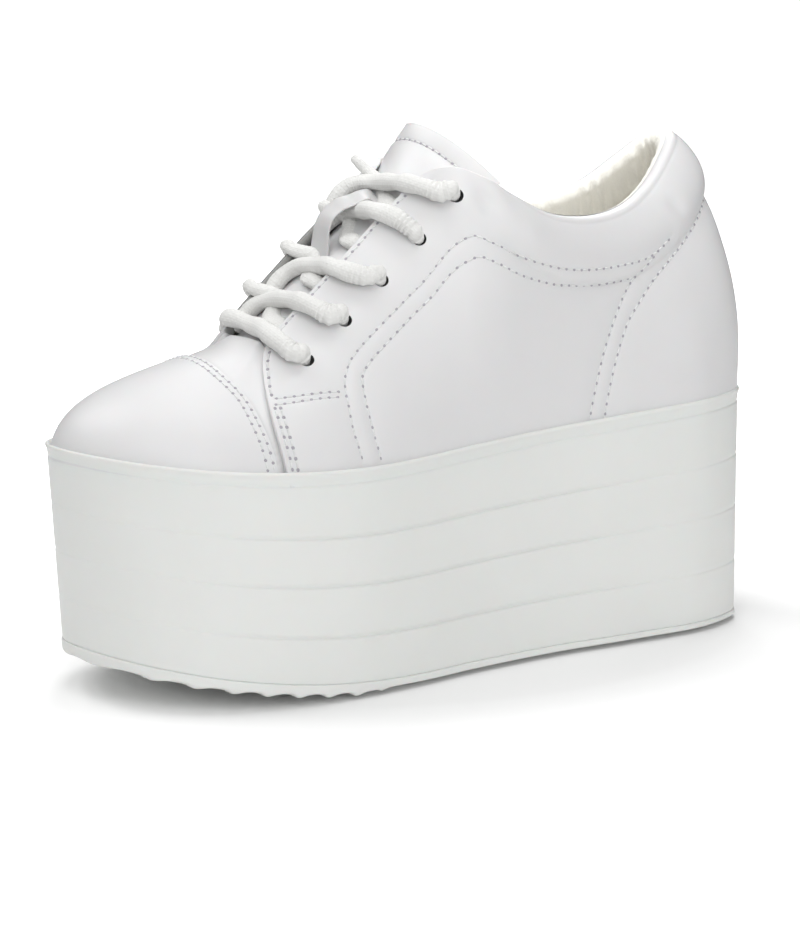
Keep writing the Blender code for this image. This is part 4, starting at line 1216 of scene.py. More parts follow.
# ---- sole -----------------------------------------------------------------------------------
@dataclass
class Sole:
    """The platform block and the tread under it.

    Attributes:
        columns: points round the block.
        half, across: steps along each side of the tread, points across its underside.
        groove, lip_groove: depths of the moulded grooves and of the one under the lip, in mm.
        banks: half widths of a groove above and below its deepest line, in mm.
        ball: x where the tread's lands begin to reach the outer edge, and where all do.
    """

    last: Last
    columns: int = 900
    half: int = 420
    across: int = 48
    groove: float = 0.62
    lip_groove: float = 0.30
    banks: tuple[float, float] = (0.75, 0.34)
    ball: tuple[float, float] = (155.0, 170.0)

    def block(self, finish: bpy.types.Material) -> None:
        """The block: a tall wall with moulded grooves that fade along it, and a rounded lip.

        Each row is a ring near one of the sole's lines. A groove is a bell across the rows, and
        the lip is half a circle.

        Args:
            finish: the foam.
        """
        t = np.linspace(0, 2, self.columns, endpoint=False)
        lines = [np.array(line) for line in
                 (OUTSOLE_LINE, GROOVE_LOW, GROOVE_MID, GROOVE_HIGH, LIP_LINE)]
        # Each row: its line, how far out and how far above.
        rows = [(lines[0], out, above) for out, above in
                ((-9.0, -0.3), (-0.3, -0.12), (-0.14, 0.08), (-0.03, 0.45))]
        near = (-2.4, -1.6, -1.1, -0.8, -0.55, -0.35, -0.18, 0.0, 0.2, 0.45, 0.8, 1.3, 2.2)
        for low, high in zip(lines, lines[1:]):
            rows += [(low * (1 - w) + high * w, 0.0, 0.0) for w in (0.22, 0.36, 0.5, 0.64, 0.8)]
            rows += [(high, 0.0, above) for above in near]
        rows += [(lines[-1], LIP_OUT * w, 2.2 + w * 1.2) for w in (0.4, 0.8, 1.0)]
        top, middle, radius = np.array(LIP_TOP), LIP_OUT - LIP_WALL / 2, LIP_WALL / 2
        rows += [(top, middle + radius * math.cos(a), -radius + radius * math.sin(a))
                 for a in np.radians(np.linspace(0, 180, 15))]
        rows += [(top, LIP_OUT - LIP_WALL, -down) for down in (1.6, 3.0, 5.0, 9.0)]
        depths = 3 * [self.groove * self.fade(t)] + [self.lip_groove * np.ones(len(t))]
        grid = []
        for line, out, above in rows:
            dent = np.zeros(len(t))
            for groove, depth in zip(lines[1:], depths):
                away = (line - groove).mean() + above
                if abs(away) < 3:
                    wide = self.banks[0] if away > 0 else self.banks[1]
                    dent = dent + depth * math.exp(-(away / wide)**2)
            grid.append(self.last.ring(tuple(line), t, out - dent, above))
        piece = put_grid("platform_block", np.array(grid), finish, wrap_columns=True)
        join(piece, "foam", "midsole")

    @staticmethod
    def fade(t: Array) -> Array:
        """Depth of the grooves as a share: smooth steps keep it full along the sides only."""
        along = folded(t)
        return (0.22 + 0.78 * smooth(along, 0.20, 0.40) * (1 - smooth(along, 0.66, 0.90))
                + 0.5 * bell(along - 0.02, 0.08))

    def grooved(self, ring: Array) -> Array:
        """Lift points clear of the tread's cross grooves, circular arcs spaced along x.

        Args:
            ring: (..., 3) points of the tread.

        Returns:
            The same points, none of them inside a groove.
        """
        x = ring[..., 0]
        nearest = np.clip(np.round((x - LUG_FIRST) / LUG_PITCH), 0, LUG_COUNT - 1)
        away = np.abs(x - LUG_FIRST - nearest * LUG_PITCH)
        arc = LUG_DEPTH - LUG_RADIUS + np.sqrt(np.maximum(LUG_RADIUS**2 - away**2, 0))
        floor = self.last.level(FLOOR_LINE, x) + np.where(away < LUG_RADIUS, arc, 0)
        return np.stack([x, ring[..., 1], np.maximum(ring[..., 2], floor)], axis=-1)

    def hem(self, x: Array) -> Array:
        """How far the side band ends above the lands.

        Behind the ball it is even. Ahead of it each land's bell, steep on its toe side, comes
        down to the floor.

        Args:
            x: places along the shoe.

        Returns:
            Heights in mm.
        """
        middle = LUG_FIRST + LUG_PITCH * (np.floor((x - LUG_FIRST) / LUG_PITCH) + 0.5)
        away = x - middle
        ahead = smooth(x, *self.ball)
        land = bell(away / np.where(away > 0, 1.2, 3.0), 1.0) * ahead
        return HEM * (1 - 0.3 * ahead) * (1 - land)

    def tread(self, finish: bpy.types.Material) -> None:
        """The rubber slab: a rounded side band and a grooved underside.

        The band is a stack of rings, and the underside runs in straight lines from side to side.

        Args:
            finish: the rubber.
        """
        half = self.half
        t = np.concatenate([np.linspace(0, 1, half + 1), np.linspace(1, 2, half + 1)[1:-1]])
        band = []
        for line, rows in TREAD_ROWS:
            for out, above, part in rows:
                ring = self.last.ring(line, t, out, above)
                ring[..., 2] += part * self.hem(ring[..., 0])
                band.append(self.grooved(ring))
        band = np.array(band)
        lowest = band[0]
        outer = lowest[:half + 1]
        inner = np.vstack([lowest[:1], lowest[half + 1:][::-1], lowest[half:half + 1]])
        across = np.linspace(0, 1, self.across)[None, :, None]
        under = self.grooved(outer[:, None] * (1 - across) + inner[:, None] * across)
        side = grid_faces(*band.shape[:2], wrap_columns=True)
        below = grid_faces(half + 1, self.across) + band.shape[0] * band.shape[1]
        piece = put_mesh("tread", np.concatenate([band.reshape(-1, 3), under.reshape(-1, 3)]),
                         np.vstack([side, below]), finish)
        join(piece, "rubber", "outsole")


# ---- upper ----------------------------------------------------------------------------------
@dataclass
class Upper:
    """The leather upper: quarters with padded collar, vamp, toe cap, lining and stitching.

    The quarters have body columns between their fine front edges, and the rolled edge has roll
    rows.
    """

    last: Last
    dress: Dress
    finishes: Finishes
    body: int = 588
    roll: int = 18

    def pad_inward(self, t: Array, points: Array, ends: Array) -> Array:
        """How far the collar's padding pushes the lining in, a smooth step down from the edge.

        Args:
            t: (n,) places round the shoe.
            points: (n, m, 3) places on the last.
            ends: (n, 3) ends of the ribs.

        Returns:
            (n, m) distances in mm, below zero at the thin throat.
        """
        around = collared(t)[:, None]
        depth = np.clip(1 - np.linalg.norm(points - ends[:, None, :], axis=-1) / PAD_DEPTH, 0, 1)
        return PAD_THICK * smooth(depth, 0, 0.45) * around - THROAT_THIN * (1 - around)

    def rim(self, t: Array, outer: Array, normal: Array, turns: Array,
            crown: Array | float) -> Array:
        """Rows that roll over the opening's edge, half an ellipse from the skin to the lining.

        Args:
            t: (n,) places round the shoe.
            outer: (n, 1, 3) the leather's last points.
            normal: (n, 1, 3) unit normals there.
            turns: (n, m) or (1, m) angles of the rows round the ellipse.
            crown: its height over its width.

        Returns:
            (n, m, 3) points.
        """
        ribs = self.last.ribs(t)
        ends = ribs[3][:, None, :]
        inward = WALL + self.pad_inward(t, ends, ribs[3])
        inner = ends - normal * inward[..., None]
        climb = unit(ribs[3] - ribs[2])[:, None, :]
        middle, arm = (outer + inner) / 2, (outer - inner) / 2
        tall = np.linalg.norm(outer - inner, axis=-1) * crown
        return middle + arm * np.cos(turns)[..., None] + climb * (tall * np.sin(turns))[..., None]

    @staticmethod
    def raw(t: Array) -> Array:
        """1 where the opening's edge is cut leather, at the throat, and 0 on the padded collar."""
        return smooth(folded(t), CORNER_ALONG - 0.035, CORNER_ALONG + 0.02)

    @staticmethod
    def inner_throat(t: Array) -> Array:
        """1 along the throat on the inner side, falling to 0 at its corner."""
        return smooth(folded(t), 0.54, 0.60) * (np.mod(t, 2) >= 1)

    def crown(self, t: Array) -> Array:
        """Height of the rolled edge over its width: flat on the outer throat, tall inside."""
        throat = 0.15 + 0.65 * self.inner_throat(t)
        return 0.40 + (throat - 0.40) * self.raw(t)

    def quarters(self) -> None:
        """Both quarters and the heel in one wrap, edges rolled at the front and at the opening.

        The columns run round the heel from one front edge to the other, lean there and thin out
        to nothing, and the rim rolls over on top. At the throat the rim is painted dark, for its
        cut edge and for the shade on its inner face.
        """
        inset, edge = np.array(FRONT_COLUMNS).T
        inner = QUARTER_FRONT - 0.0105
        columns = np.concatenate([-QUARTER_FRONT + inset, np.linspace(-inner, inner, self.body),
                                  (QUARTER_FRONT - inset)[::-1]])
        fall = np.concatenate([edge, np.ones(self.body), edge[::-1]])
        share = np.concatenate([[0.0], np.linspace(0.01, 1, 120)])[None, :]
        lean = self.dress.edge_along(share) - QUARTER_FRONT
        lean = lean * smooth(np.abs(columns), 0.60, QUARTER_FRONT)[:, None]
        t = columns[:, None] + lean * np.sign(columns)[:, None]
        points, normal, _ = self.dress.leaned(t, share, (OVERLAY * fall)[:, None])
        top = t[:, -1:]
        raw = self.raw(top)
        turns = np.radians(88 + 112 * raw) * np.linspace(0, 1, self.roll)[1:]
        rim = self.rim(top[:, 0], points[:, -1:], normal[:, -1:], turns, self.crown(top))
        # Painted shade: at the throat the rim's turned rows, and on the inner side all of them,
        # take the dark raw colour, for the cut edge and for the shade on its inner face.
        dark = np.where(top < 0, smooth(turns, 0.0, 0.5) * self.inner_throat(top),
                        smooth(turns, 0.5, 1.3))
        cut = np.concatenate([np.zeros(points.shape[:2]), raw * dark], axis=1)
        grid, keep = self.punched(np.concatenate([points, rim], axis=1))
        piece = put_grid("quarters", grid, self.finishes.leather, flip=True, keep=keep,
                         marks={"cut": cut})
        join(piece, "leather", "upper")

    def punched(self, grid: Array) -> tuple[Array, Array]:
        """Open the eyelet holes: points inside go, and their neighbours move onto the circle.

        Args:
            grid: (rows, columns, 3) points of the quarters.

        Returns:
            The moved grid, and marks of the points that stay.
        """
        keep = np.ones(grid.shape[:2], bool)
        radius = EYELET_HOLE / 2
        for hole in self.dress.holes:
            away = grid - hole.place
            flat = away - (away @ hole.normal)[..., None] * hole.normal
            apart = np.linalg.norm(flat, axis=-1)
            inside = (apart < radius - 0.1) & (np.linalg.norm(away, axis=-1) < 6)
            near = np.logical_or.reduce([np.roll(inside, (along, down), axis=(0, 1))
                                         for along in (-1, 0, 1) for down in (-1, 0, 1)])
            moved = grid + flat * (radius / np.maximum(apart, 0.1) - 1)[..., None]
            grid = np.where((near & ~inside)[..., None], moved, grid)
            keep &= ~inside
        return grid, keep

    def vamp(self) -> None:
        """The vamp under cap and quarters, up to the throat's front edge.

        Bells along both edges paint shade on it, darker low down, as if cast by the cap's and the
        quarters' edges, and press a groove beside the cap.
        """
        t = np.linspace(0.68, 1.32, 520)
        share = np.linspace(0, 1, 120)[None, :]
        points, normal = self.dress.dressed(t, share, 0.02)
        to_cap = self.dress.gap_to(points, "cap_edge")
        to_quarter = self.dress.gap_to(points, "quarter_edge")
        # Painted shade: dark lines beside the cap's edge and under the quarters' front edge,
        # stronger low down.
        low = 1 - smooth(points[..., 2], 84, 97)
        cut = (0.06 + 0.34 * low) * bell(to_cap, 0.9)
        cut = cut + (0.15 + 0.55 * low) * bell(to_quarter, 0.9 + 0.3 * low)
        points = points - normal * (self.tuck(points) + 0.42 * bell(to_cap, 0.8))[..., None]
        turns = np.radians(np.linspace(0, 195, 12)[1:])[None]
        rim = self.rim(t, points[:, -1:], normal[:, -1:], turns, 0.38)
        grid = np.concatenate([points, rim], axis=1)
        cut = np.concatenate([cut, np.zeros(rim.shape[:2])], axis=1)
        piece = put_grid("vamp", grid, self.finishes.leather, flip=True, marks={"cut": cut})
        join(piece, "leather")

    def tuck(self, points: Array) -> Array:
        """How far leather dips where it runs under the quarters' front edge, in mm."""
        gap = self.dress.gap_to(points, "quarter_edge")
        return 0.3 * bell(gap, 2.2) + 0.35 * bell(gap, 3.2) + 0.55 * bell(gap, 0.9)

    def toe_cap(self) -> None:
        """The smooth toe cap, its back edge rounded down onto the vamp by a quarter circle.
        """
        t = np.linspace(QUARTER_FRONT - 0.02, 2 - QUARTER_FRONT + 0.02, 420)
        end = self.dress.cap_share(t)
        rows = (1 - np.linspace(1, 0, 110)**1.6)[None, :]
        to_edge = (1 - rows) * end[:, None] * RIB_MM
        round_off = np.sqrt(np.clip(1 - (1 - np.clip(to_edge / 0.5, 0, 1))**2, 0, 1))
        points, normal = self.dress.dressed(t, rows * end[:, None],
                                            OVERLAY * (round_off * 0.9 + 0.1))
        points = points - normal * self.tuck(points)[..., None]
        under = points[:, -1:] - normal[:, -1:] * 0.9
        grid = np.concatenate([points, under], axis=1)
        join(put_grid("toe_cap", grid, self.finishes.cap_leather, flip=True), "leather")

    def lining(self) -> None:
        """The cloth lining, gathered in small folds that run down from the collar.

        The folds are a sine along the edge whose phase and depth wander by slower sines. They
        fade out by smooth steps below the padding and over the roll. Near the throat the lining is
        painted dark, for its cut edge and for the shade there.
        """
        t = np.linspace(0, 2, 1000, endpoint=False)
        share = np.broadcast_to(np.linspace(0.0, 1, 64), (len(t), 64))
        base, normal = self.last.skin(t, share), self.last.normals(t, share)
        ends = self.last.ribs(t)[3]
        run = np.where(t <= 1, t, t - 2) * COLLAR_MM
        fold = np.sin(run * 1.30 + 1.5 * np.sin(run * 0.19)) * (0.65 + 0.35 * np.sin(run * 0.31))
        raw = self.raw(t)[:, None]
        gather = 1.05 * fold[:, None] * (1 - raw)
        depth = np.linalg.norm(base - ends[:, None, :], axis=-1)
        pleats = gather * smooth(depth, -5, 5) * (1 - smooth(depth, 26, 44))
        sunk = WALL - 0.05 + self.pad_inward(t, base, ends) + pleats
        top, facing = self.dress.dressed(t, np.ones((1, 1)), OVERLAY)
        steps = np.linspace(0, 1, self.roll)[1:]
        turns = np.radians(180 - (8 + 92 * (1 - raw)) * steps)
        over = self.rim(t, top + facing * 0.12, facing, turns, self.crown(t[:, None]) + 0.02)
        bead = 0.28 * bell(steps - 0.93, 0.06) * (1 - raw)
        over = over - facing * (0.75 * gather * smooth(1 - steps, 0.1, 0.9) - bead)[..., None]
        grid = np.concatenate([base - normal * sunk[..., None], over], axis=1)
        keep = np.ones(grid.shape[:2], bool)
        for hole in self.dress.holes:
            keep &= np.linalg.norm(grid - hole.place, axis=-1) > 3.4
        # Painted shade: the lining darkens towards the throat's edge and over the roll there.
        dark = np.concatenate([smooth(share[0], 0.55, 0.8), np.ones(len(steps))])
        piece = put_grid("lining", grid, self.finishes.lining, wrap_rows=True, keep=keep,
                         marks={"cut": raw * dark})
        join(piece, "leather")

    def eyelets(self) -> None:
        """Cut edges of the punched holes, painted near black as the shade inside them: short tubes
        with a soft lip, sunk through the leather.
        """
        turn = np.linspace(0, 2 * math.pi, 28, endpoint=False)
        # How far out from the hole's edge, and how far above the leather.
        profile = [(0.12, -0.30), (0.05, -0.16), (0.0, -0.22), (-0.02, -0.6), (0.0, -3.2),
                   (-2.2, -3.3)]
        shape = rings(turn, [(EYELET_HOLE / 2 + out, up) for out, up in profile])
        faces = grid_faces(len(profile), len(turn), wrap_columns=True, flip=True)
        places = np.array([hole.place for hole in self.dress.holes])
        axes = upright([hole.normal for hole in self.dress.holes], (1.0, 0.0, 0.0))
        piece = scatter("eyelet_edges", shape, faces, places, axes, self.finishes.edge)
        join(piece, "leather")

    def rows(self) -> list[tuple[str, Array, Array]]:
        """Every stitch row.

        Returns:
            Its name, its points on the dressed skin and the unit normals there.
        """
        found = []
        for name, at in self.dress.seams.items():
            raised = OVERLAY + FRONT_ROWS_RAISED * name.startswith("front_")
            points, normal = self.dress.dressed(at[:, 0], at[:, 1:], raised)
            found.append((name, points[:, 0], normal[:, 0]))
        t = np.linspace(QUARTER_FRONT + 0.003, 2 - QUARTER_FRONT - 0.003, 400)
        for ahead in CAP_ROWS:
            share = self.dress.cap_share(t, ahead)
            on = share > 0.004
            points, normal = self.dress.dressed(t[on], share[on][:, None], OVERLAY * 0.95)
            points = points - normal * self.tuck(points)[..., None]
            found.append(("cap", points[:, 0], normal[:, 0]))
        return found

    def stitches(self) -> None:
        """Thread and needle holes along every row."""
        sewn = []
        for name, points, normal in self.rows():
            pitch = next(p for key, p in PITCH.items() if name.startswith(key))
            sewn.append(Sewn.along(points, normal, pitch))
        Sewn.make("upper", sewn, self.finishes)


def rings(turn: Array, profile: list[tuple[float, float]]) -> Array:
    """Points of a small turned shape: circles of the profile's radii at its heights."""
    return np.concatenate([np.stack([r * np.cos(turn), r * np.sin(turn), 0 * turn + up], axis=-1)
                           for r, up in profile])


def upright(normals: Array | list[Array], hint: tuple[float, float, float]) -> Array:
    """Axes of copies that stand on their normals, the first square to the hint."""
    third = np.asarray(normals)
    first = unit(np.cross(third, hint))
    return np.stack([first, np.cross(third, first), third], axis=1)


@dataclass
class Sewn:
    """One row of stitches: its threads' middles and ways from hole to hole, and its holes."""

    middles: Array
    normals: Array
    ways: Array
    pitch: float
    holes: Array
    hole_normals: Array

    @classmethod
    def along(cls, points: Array, normal: Array, pitch: float) -> "Sewn":
        """Stitch along a row of points on the skin.

        Args:
            points: (n, 3) the row.
            normal: (n, 3) unit normals there.
            pitch: the stitch length in mm.

        Returns:
            The row of stitches.
        """
        run = lengths(points)
        ends = np.arange(0.4, run[-1], pitch)
        middle = ends[:-1] + pitch / 2
        holes = read_rows(ends, run, points)
        return cls(read_rows(middle, run, points), unit(read_rows(middle, run, normal)),
                   np.diff(holes, axis=0), pitch, holes, unit(read_rows(ends, run, normal)))

    @staticmethod
    def make(name: str, rows: list["Sewn"], finishes: Finishes) -> None:
        """Threads as small arched capsules, and needle holes as small dark domed dots that paint
        the shade inside them.

        Args:
            name: what the two pieces' names begin with.
            rows: the stitch rows.
            finishes: the shoe's materials.
        """
        turn = np.linspace(0, 2 * math.pi, 8, endpoint=False)
        capsule = np.concatenate([
            np.stack([0 * turn + x, r * np.cos(turn), r * 0.8 * np.sin(turn) + up], axis=-1)
            for x, r, up in THREAD])
        normals, ways, middles, holes, facing = (
            np.vstack([getattr(row, part) for row in rows])
            for part in ("normals", "ways", "middles", "holes", "hole_normals"))
        along = unit(ways - (ways * normals).sum(axis=1, keepdims=True) * normals)
        reach = np.concatenate([np.full(len(row.middles), row.pitch - 0.75) for row in rows])
        axes = np.stack([along * reach[:, None], np.cross(normals, along), normals], axis=1)
        thread = scatter(f"{name}_thread", capsule,
                         grid_faces(len(THREAD), len(turn), wrap_columns=True, flip=True),
                         middles, axes, finishes.thread)
        dots = scatter(f"{name}_needle_holes", rings(turn, NEEDLE_HOLE),
                       grid_faces(len(NEEDLE_HOLE), len(turn), wrap_columns=True),
                       holes, upright(facing, (0.3, 1.0, 0.2)), finishes.hole)
        join(thread, "leather")
        join(dots, "leather")


# ---- inside ---------------------------------------------------------------------------------
@dataclass
class Inside:
    """The insole, and the tongue as rows of columns of points."""

    last: Last
    finishes: Finishes
    rows: int = 240
    columns: int = 90

    def insole(self) -> None:
        """The footbed: a wedge that climbs to the heel, cupped a little along its middle.

        Straight lines run between the places where the lining on each side reaches the bed's
        height, and a fourth power across them makes the cup.
        """
        half = 140
        t = np.linspace(0.0, 1.0, half)
        bed_x, bed_z = np.array(BED).T
        sides = []
        for side in Side:
            way = side.placed(t)
            share = np.tile(np.linspace(0, 0.7, 120), (half, 1))
            wall = self.last.skin(way, share) - self.last.normals(way, share) * (WALL + 0.6)
            bed = spline(bed_x, bed_z[:, None], np.clip(wall[:, 0, 0], 0, 249))
            index = np.argmax(wall[..., 2] > (wall[:, :1, 2] + bed), axis=1)
            sides.append(wall[np.arange(half), index][:, None])
        across = np.linspace(0, 1, 60)
        part = across[None, :, None]
        grid = sides[0] * (1 - part) + sides[1] * part
        grid[..., 2] += 1.2 * np.abs(2 * across - 1)**4
        piece = put_grid("footbed", grid, self.finishes.lining)
        join(piece, "lining", "insole")

    def tongue_face(self, u: Array, across: Array) -> tuple[Array, Array]:
        """Front face of the tongue: parabolas across it, set along a curve through its table.

        Args:
            u: (n,) places up its length, from 0 to 1.
            across: (1, m) places across it, from -1 to 1.

        Returns:
            (n, m, 3) points, and the tongue's depth there in mm.
        """
        table = np.array(TONGUE)
        knots = np.linspace(0, 1, len(table))
        x, ridge, half, apex, thick, sweep = spline(knots, table, u).T[..., None]
        y = across * (half - np.where(across < 0, 6.5, 0.0) * smooth(u, 0.84, 1.0)[:, None])
        back = sweep * ((y - apex) / TONGUE_RADIUS)**2
        drop = 0.06 * np.maximum(np.abs(y) - 10, 0)**2 * smooth(x, 122, 136)
        z = ridge - (y - apex)**2 / (2 * TONGUE_RADIUS) - drop
        end = np.sqrt(np.clip(1 - smooth(u, 0.965, 1.0) * 0.96, 0, 1))[:, None]
        depth = thick * np.sqrt(np.maximum(1 - across**6, 0.02)) * end
        return np.stack([x - back, y, z], axis=-1), depth

    def tongue(self) -> None:
        """The padded tongue, puffed on both sides of the dent along its stitched border.
        """
        u = np.linspace(0, 1, self.rows)
        across = np.sin(np.linspace(-1, 1, self.columns) * math.pi / 2)[None, :]
        face, depth = self.tongue_face(u, across)
        normal = grid_normals(face)
        border = np.abs((1 - u) * TONGUE_LENGTH - TONGUE_BORDER)[:, None]
        puff = 0.6 * (1 - across**4) * (1 - bell(border, 4.0)) - 0.3 * bell(border, 0.8)
        front = face + normal * puff[..., None]
        back = face - normal * depth[..., None]
        grid = np.concatenate([front, back[:, ::-1]], axis=1)
        piece = put_grid("tongue_pad", grid, self.finishes.tongue_leather, wrap_columns=True)
        join(piece, "leather", "tongue")

    def tongue_stitches(self) -> None:
        """The row of stitches in the dent below the tongue's top edge."""
        across = np.linspace(-0.96, 0.96, 160)[None, :]
        face, _ = self.tongue_face(np.linspace(0, 1, self.rows), across)
        normal = grid_normals(face)
        row = round((1 - TONGUE_BORDER / TONGUE_LENGTH) * (self.rows - 1))
        line = Sewn.along(face[row] - normal[row] * 0.22, normal[row], PITCH["tongue"])
        Sewn.make("tongue", [line], self.finishes)


# ---- laces ----------------------------------------------------------------------------------
@dataclass
class Laces:
    """Five rows of cotton lace and the keeper loop.

    Attributes:
        places, sides: points along each lace and round it.
        knit, spirals, twist: the knit's depth in mm, its spirals, and their radians a mm.
        ridge, ridge_turn: depth of the ridges in mm, and their radians a mm.
    """

    dress: Dress
    finishes: Finishes
    places: int = 300
    sides: int = 44
    knit: float = 0.07
    spirals: int = 5
    twist: float = 2.4
    ridge: float = 0.22
    ridge_turn: float = 3.7
    loop_places: int = 110
    loop_sides: int = 32

    def cord(self, route: Array, phase: float, squeezed: float = 0.0) -> Array:
        """One lace: a soft oval swept along its route, gathered in ridges before its hole.

        The knit is the product of two opposed spirals, the ridges are a sine that grows near the
        hole, and the lumps are slow sines. Smooth steps narrow the lace into the hole. A squeezed
        lace is flattened by a bell across the shoe and narrows on the inner side.

        Args:
            route: places along the middle, the hole last.
            phase: where the sines start, in radians.
            squeezed: how much narrower a squeezed lace becomes, or 0 for a free one.

        Returns:
            (places, sides, 3) points.
        """
        fine = even_curve(route, self.places)
        run, y = lengths(fine), fine[:, 1]
        around = np.linspace(0, 2 * math.pi, self.sides, endpoint=False)[None, :]
        s, turn = run[:, None], self.spirals * around
        knit = self.knit * np.sin(turn + s * self.twist + phase) * np.sin(turn - s * self.twist)
        left = run[-1] - run
        gather = (smooth(16 - left, 0, 8) * smooth(left, 1.5, 4.0))[:, None]
        skew = 1.3 * np.sin(around + 0.6) + phase + 0.9 * np.sin(s * 0.7)
        ridges = self.ridge * gather * np.sin(s * self.ridge_turn + skew)
        lumps = 0.13 * np.sin(s * 0.50 + phase) + 0.10 * np.sin(around * 2 + s * 0.37 + phase)
        size = knit + ridges + lumps
        wide = (1 + 0.02 * bell(left - 11, 5) - 0.17 * smooth(9.5 - left, 0, 6)
                - 0.26 * smooth(3.4 - left, 0, 3.2))
        if squeezed:
            narrow = 1 - squeezed * smooth(-y, 3, 14)
            high = narrow * (1 - 0.42 * bell(y - 3.0, 8.0))
            a = (LACE_WIDE * wide[:, None] + size) * narrow[:, None]
        else:
            high = wide * (1 - 0.20 * smooth(-y, 13, 18)) * (1 - 0.10 * bell(y + 4, 5))
            a = LACE_WIDE * wide[:, None] + size
        b = LACE_HIGH * high[:, None] + size
        section = np.stack([a * np.cos(around), b * np.sin(around)], axis=-1)
        up = np.tile([0.35, 0.0, 1.0], (len(fine), 1))
        up[:, 1] = smooth(np.abs(y), 12, 24) * 1.1 * np.sign(y)
        return sweep_tube(fine, up, section)

    @staticmethod
    def into(hole: Hole) -> list[tuple[float, float, float]]:
        """The lace's last places: it leans on the hole's upper side and turns down through it.

        Args:
            hole: the eyelet hole.

        Returns:
            Four places, the last one under the leather.
        """
        back = np.array([0.35, -0.75 * hole.side.value, 0.45])
        back = unit(back - (back @ hole.normal) * hole.normal)
        spots = ((2.1, 2.2), (1.6, 1.0), (1.2, -0.6), (0.8, -3.4))
        return [tuple(hole.place + back * away + hole.normal * up) for away, up in spots]

    def make(self) -> None:
        """All five rows: the first is one bar, the others a bar and a lace that runs below it."""
        outer, inner = ([h for h in self.dress.holes if h.side is side] for side in Side)
        for number, hole, far in zip(range(1, EYELETS + 1), outer, inner):
            phase = 1.7 * number
            if number == 1:
                there = FIRST_FAR + self.into(far)
                built = [self.cord(np.array(there[::-1] + FIRST_BAR + self.into(hole)), 1.1)]
            else:
                below = np.array(THIRD_FAR) + EYELET_STEP * (1, 0, 1) * (number - 3)
                below = np.array(FIFTH_FAR) if number == 5 else below
                built = [self.cord(np.array(BARS[number] + self.into(hole)), phase),
                         self.cord(np.vstack([below, self.into(far)]), phase + 2.0,
                                   0.48 if number == 5 else 0.26)]
            points = np.concatenate([p.reshape(-1, 3) for p in built])
            faces = np.vstack([grid_faces(self.places, self.sides, wrap_columns=True)
                               + k * self.places * self.sides for k in range(len(built))])
            u = np.tile(np.linspace(0, LACE_ROUND, self.sides), self.places * len(built))
            v = np.repeat(np.tile(np.linspace(0, LACE_LONG, self.places), len(built)), self.sides)
            piece = put_mesh(f"lace_bar_{number}", points, faces, self.finishes.lace,
                             uv=np.stack([u, v], axis=-1))
            join(piece, "lace", f"lace_row_{number}")

    def loop(self) -> None:
        """The keeper: a thin strap, its section a rounded box, that arches over one crossing, in
        leather painted darker as shade.
        """
        turn = np.linspace(0, 2 * math.pi, self.loop_sides, endpoint=False)
        cos, sin = np.cos(turn), np.sin(turn)
        section = np.stack([LOOP_HALF * np.sign(cos) * np.abs(cos)**0.35,
                            LOOP_THICK / 2 * np.sign(sin) * np.abs(sin)**0.6], axis=-1)
        up = np.tile([0.80, 0.05, 0.6], (self.loop_places, 1))
        points = sweep_tube(even_curve(LOOP, self.loop_places), up, section)
        piece = put_grid("keeper_loop", points, self.finishes.keeper_leather, wrap_columns=True)
        join(piece, "leather", "lace_loop")


# ---- the scene ------------------------------------------------------------------------------
@dataclass(frozen=True)
class Lamp:
    """A soft rectangular light: its place, sides and aim in metres, and its power in watts."""

    name: str
    place: tuple[float, float, float]
    size: tuple[float, float]
    power: float
    aim: tuple[float, float, float] = (0.0, 0.0, 0.08)


LAMPS = (
    Lamp("front", (0.50, 0.70, 1.00), (0.7, 0.7), 3.4),
    Lamp("over", (0.00, 0.00, 1.25), (0.6, 0.6), 3.0),
    Lamp("opening", (-0.05, 0.09, 0.37), (0.15, 0.15), 0.17, (-0.05, 0.0, 0.13)),
    Lamp("behind_heel", (-0.60, -0.60, 1.00), (0.7, 0.7), 6.0),
    Lamp("behind_toe", (0.50, -0.60, 1.00), (0.7, 0.7), 5.5),
)


@dataclass(frozen=True)
class Glow:
    """A broad bright side of the surround: its way, the power it fades by and its level."""

    way: tuple[float, float, float]
    narrow: float
    level: float


SURROUND = (Glow((0.049, 0.988, 0.148), 6.0, 2.12), Glow((0.921, 0.276, 0.276), 2.0, 0.45))


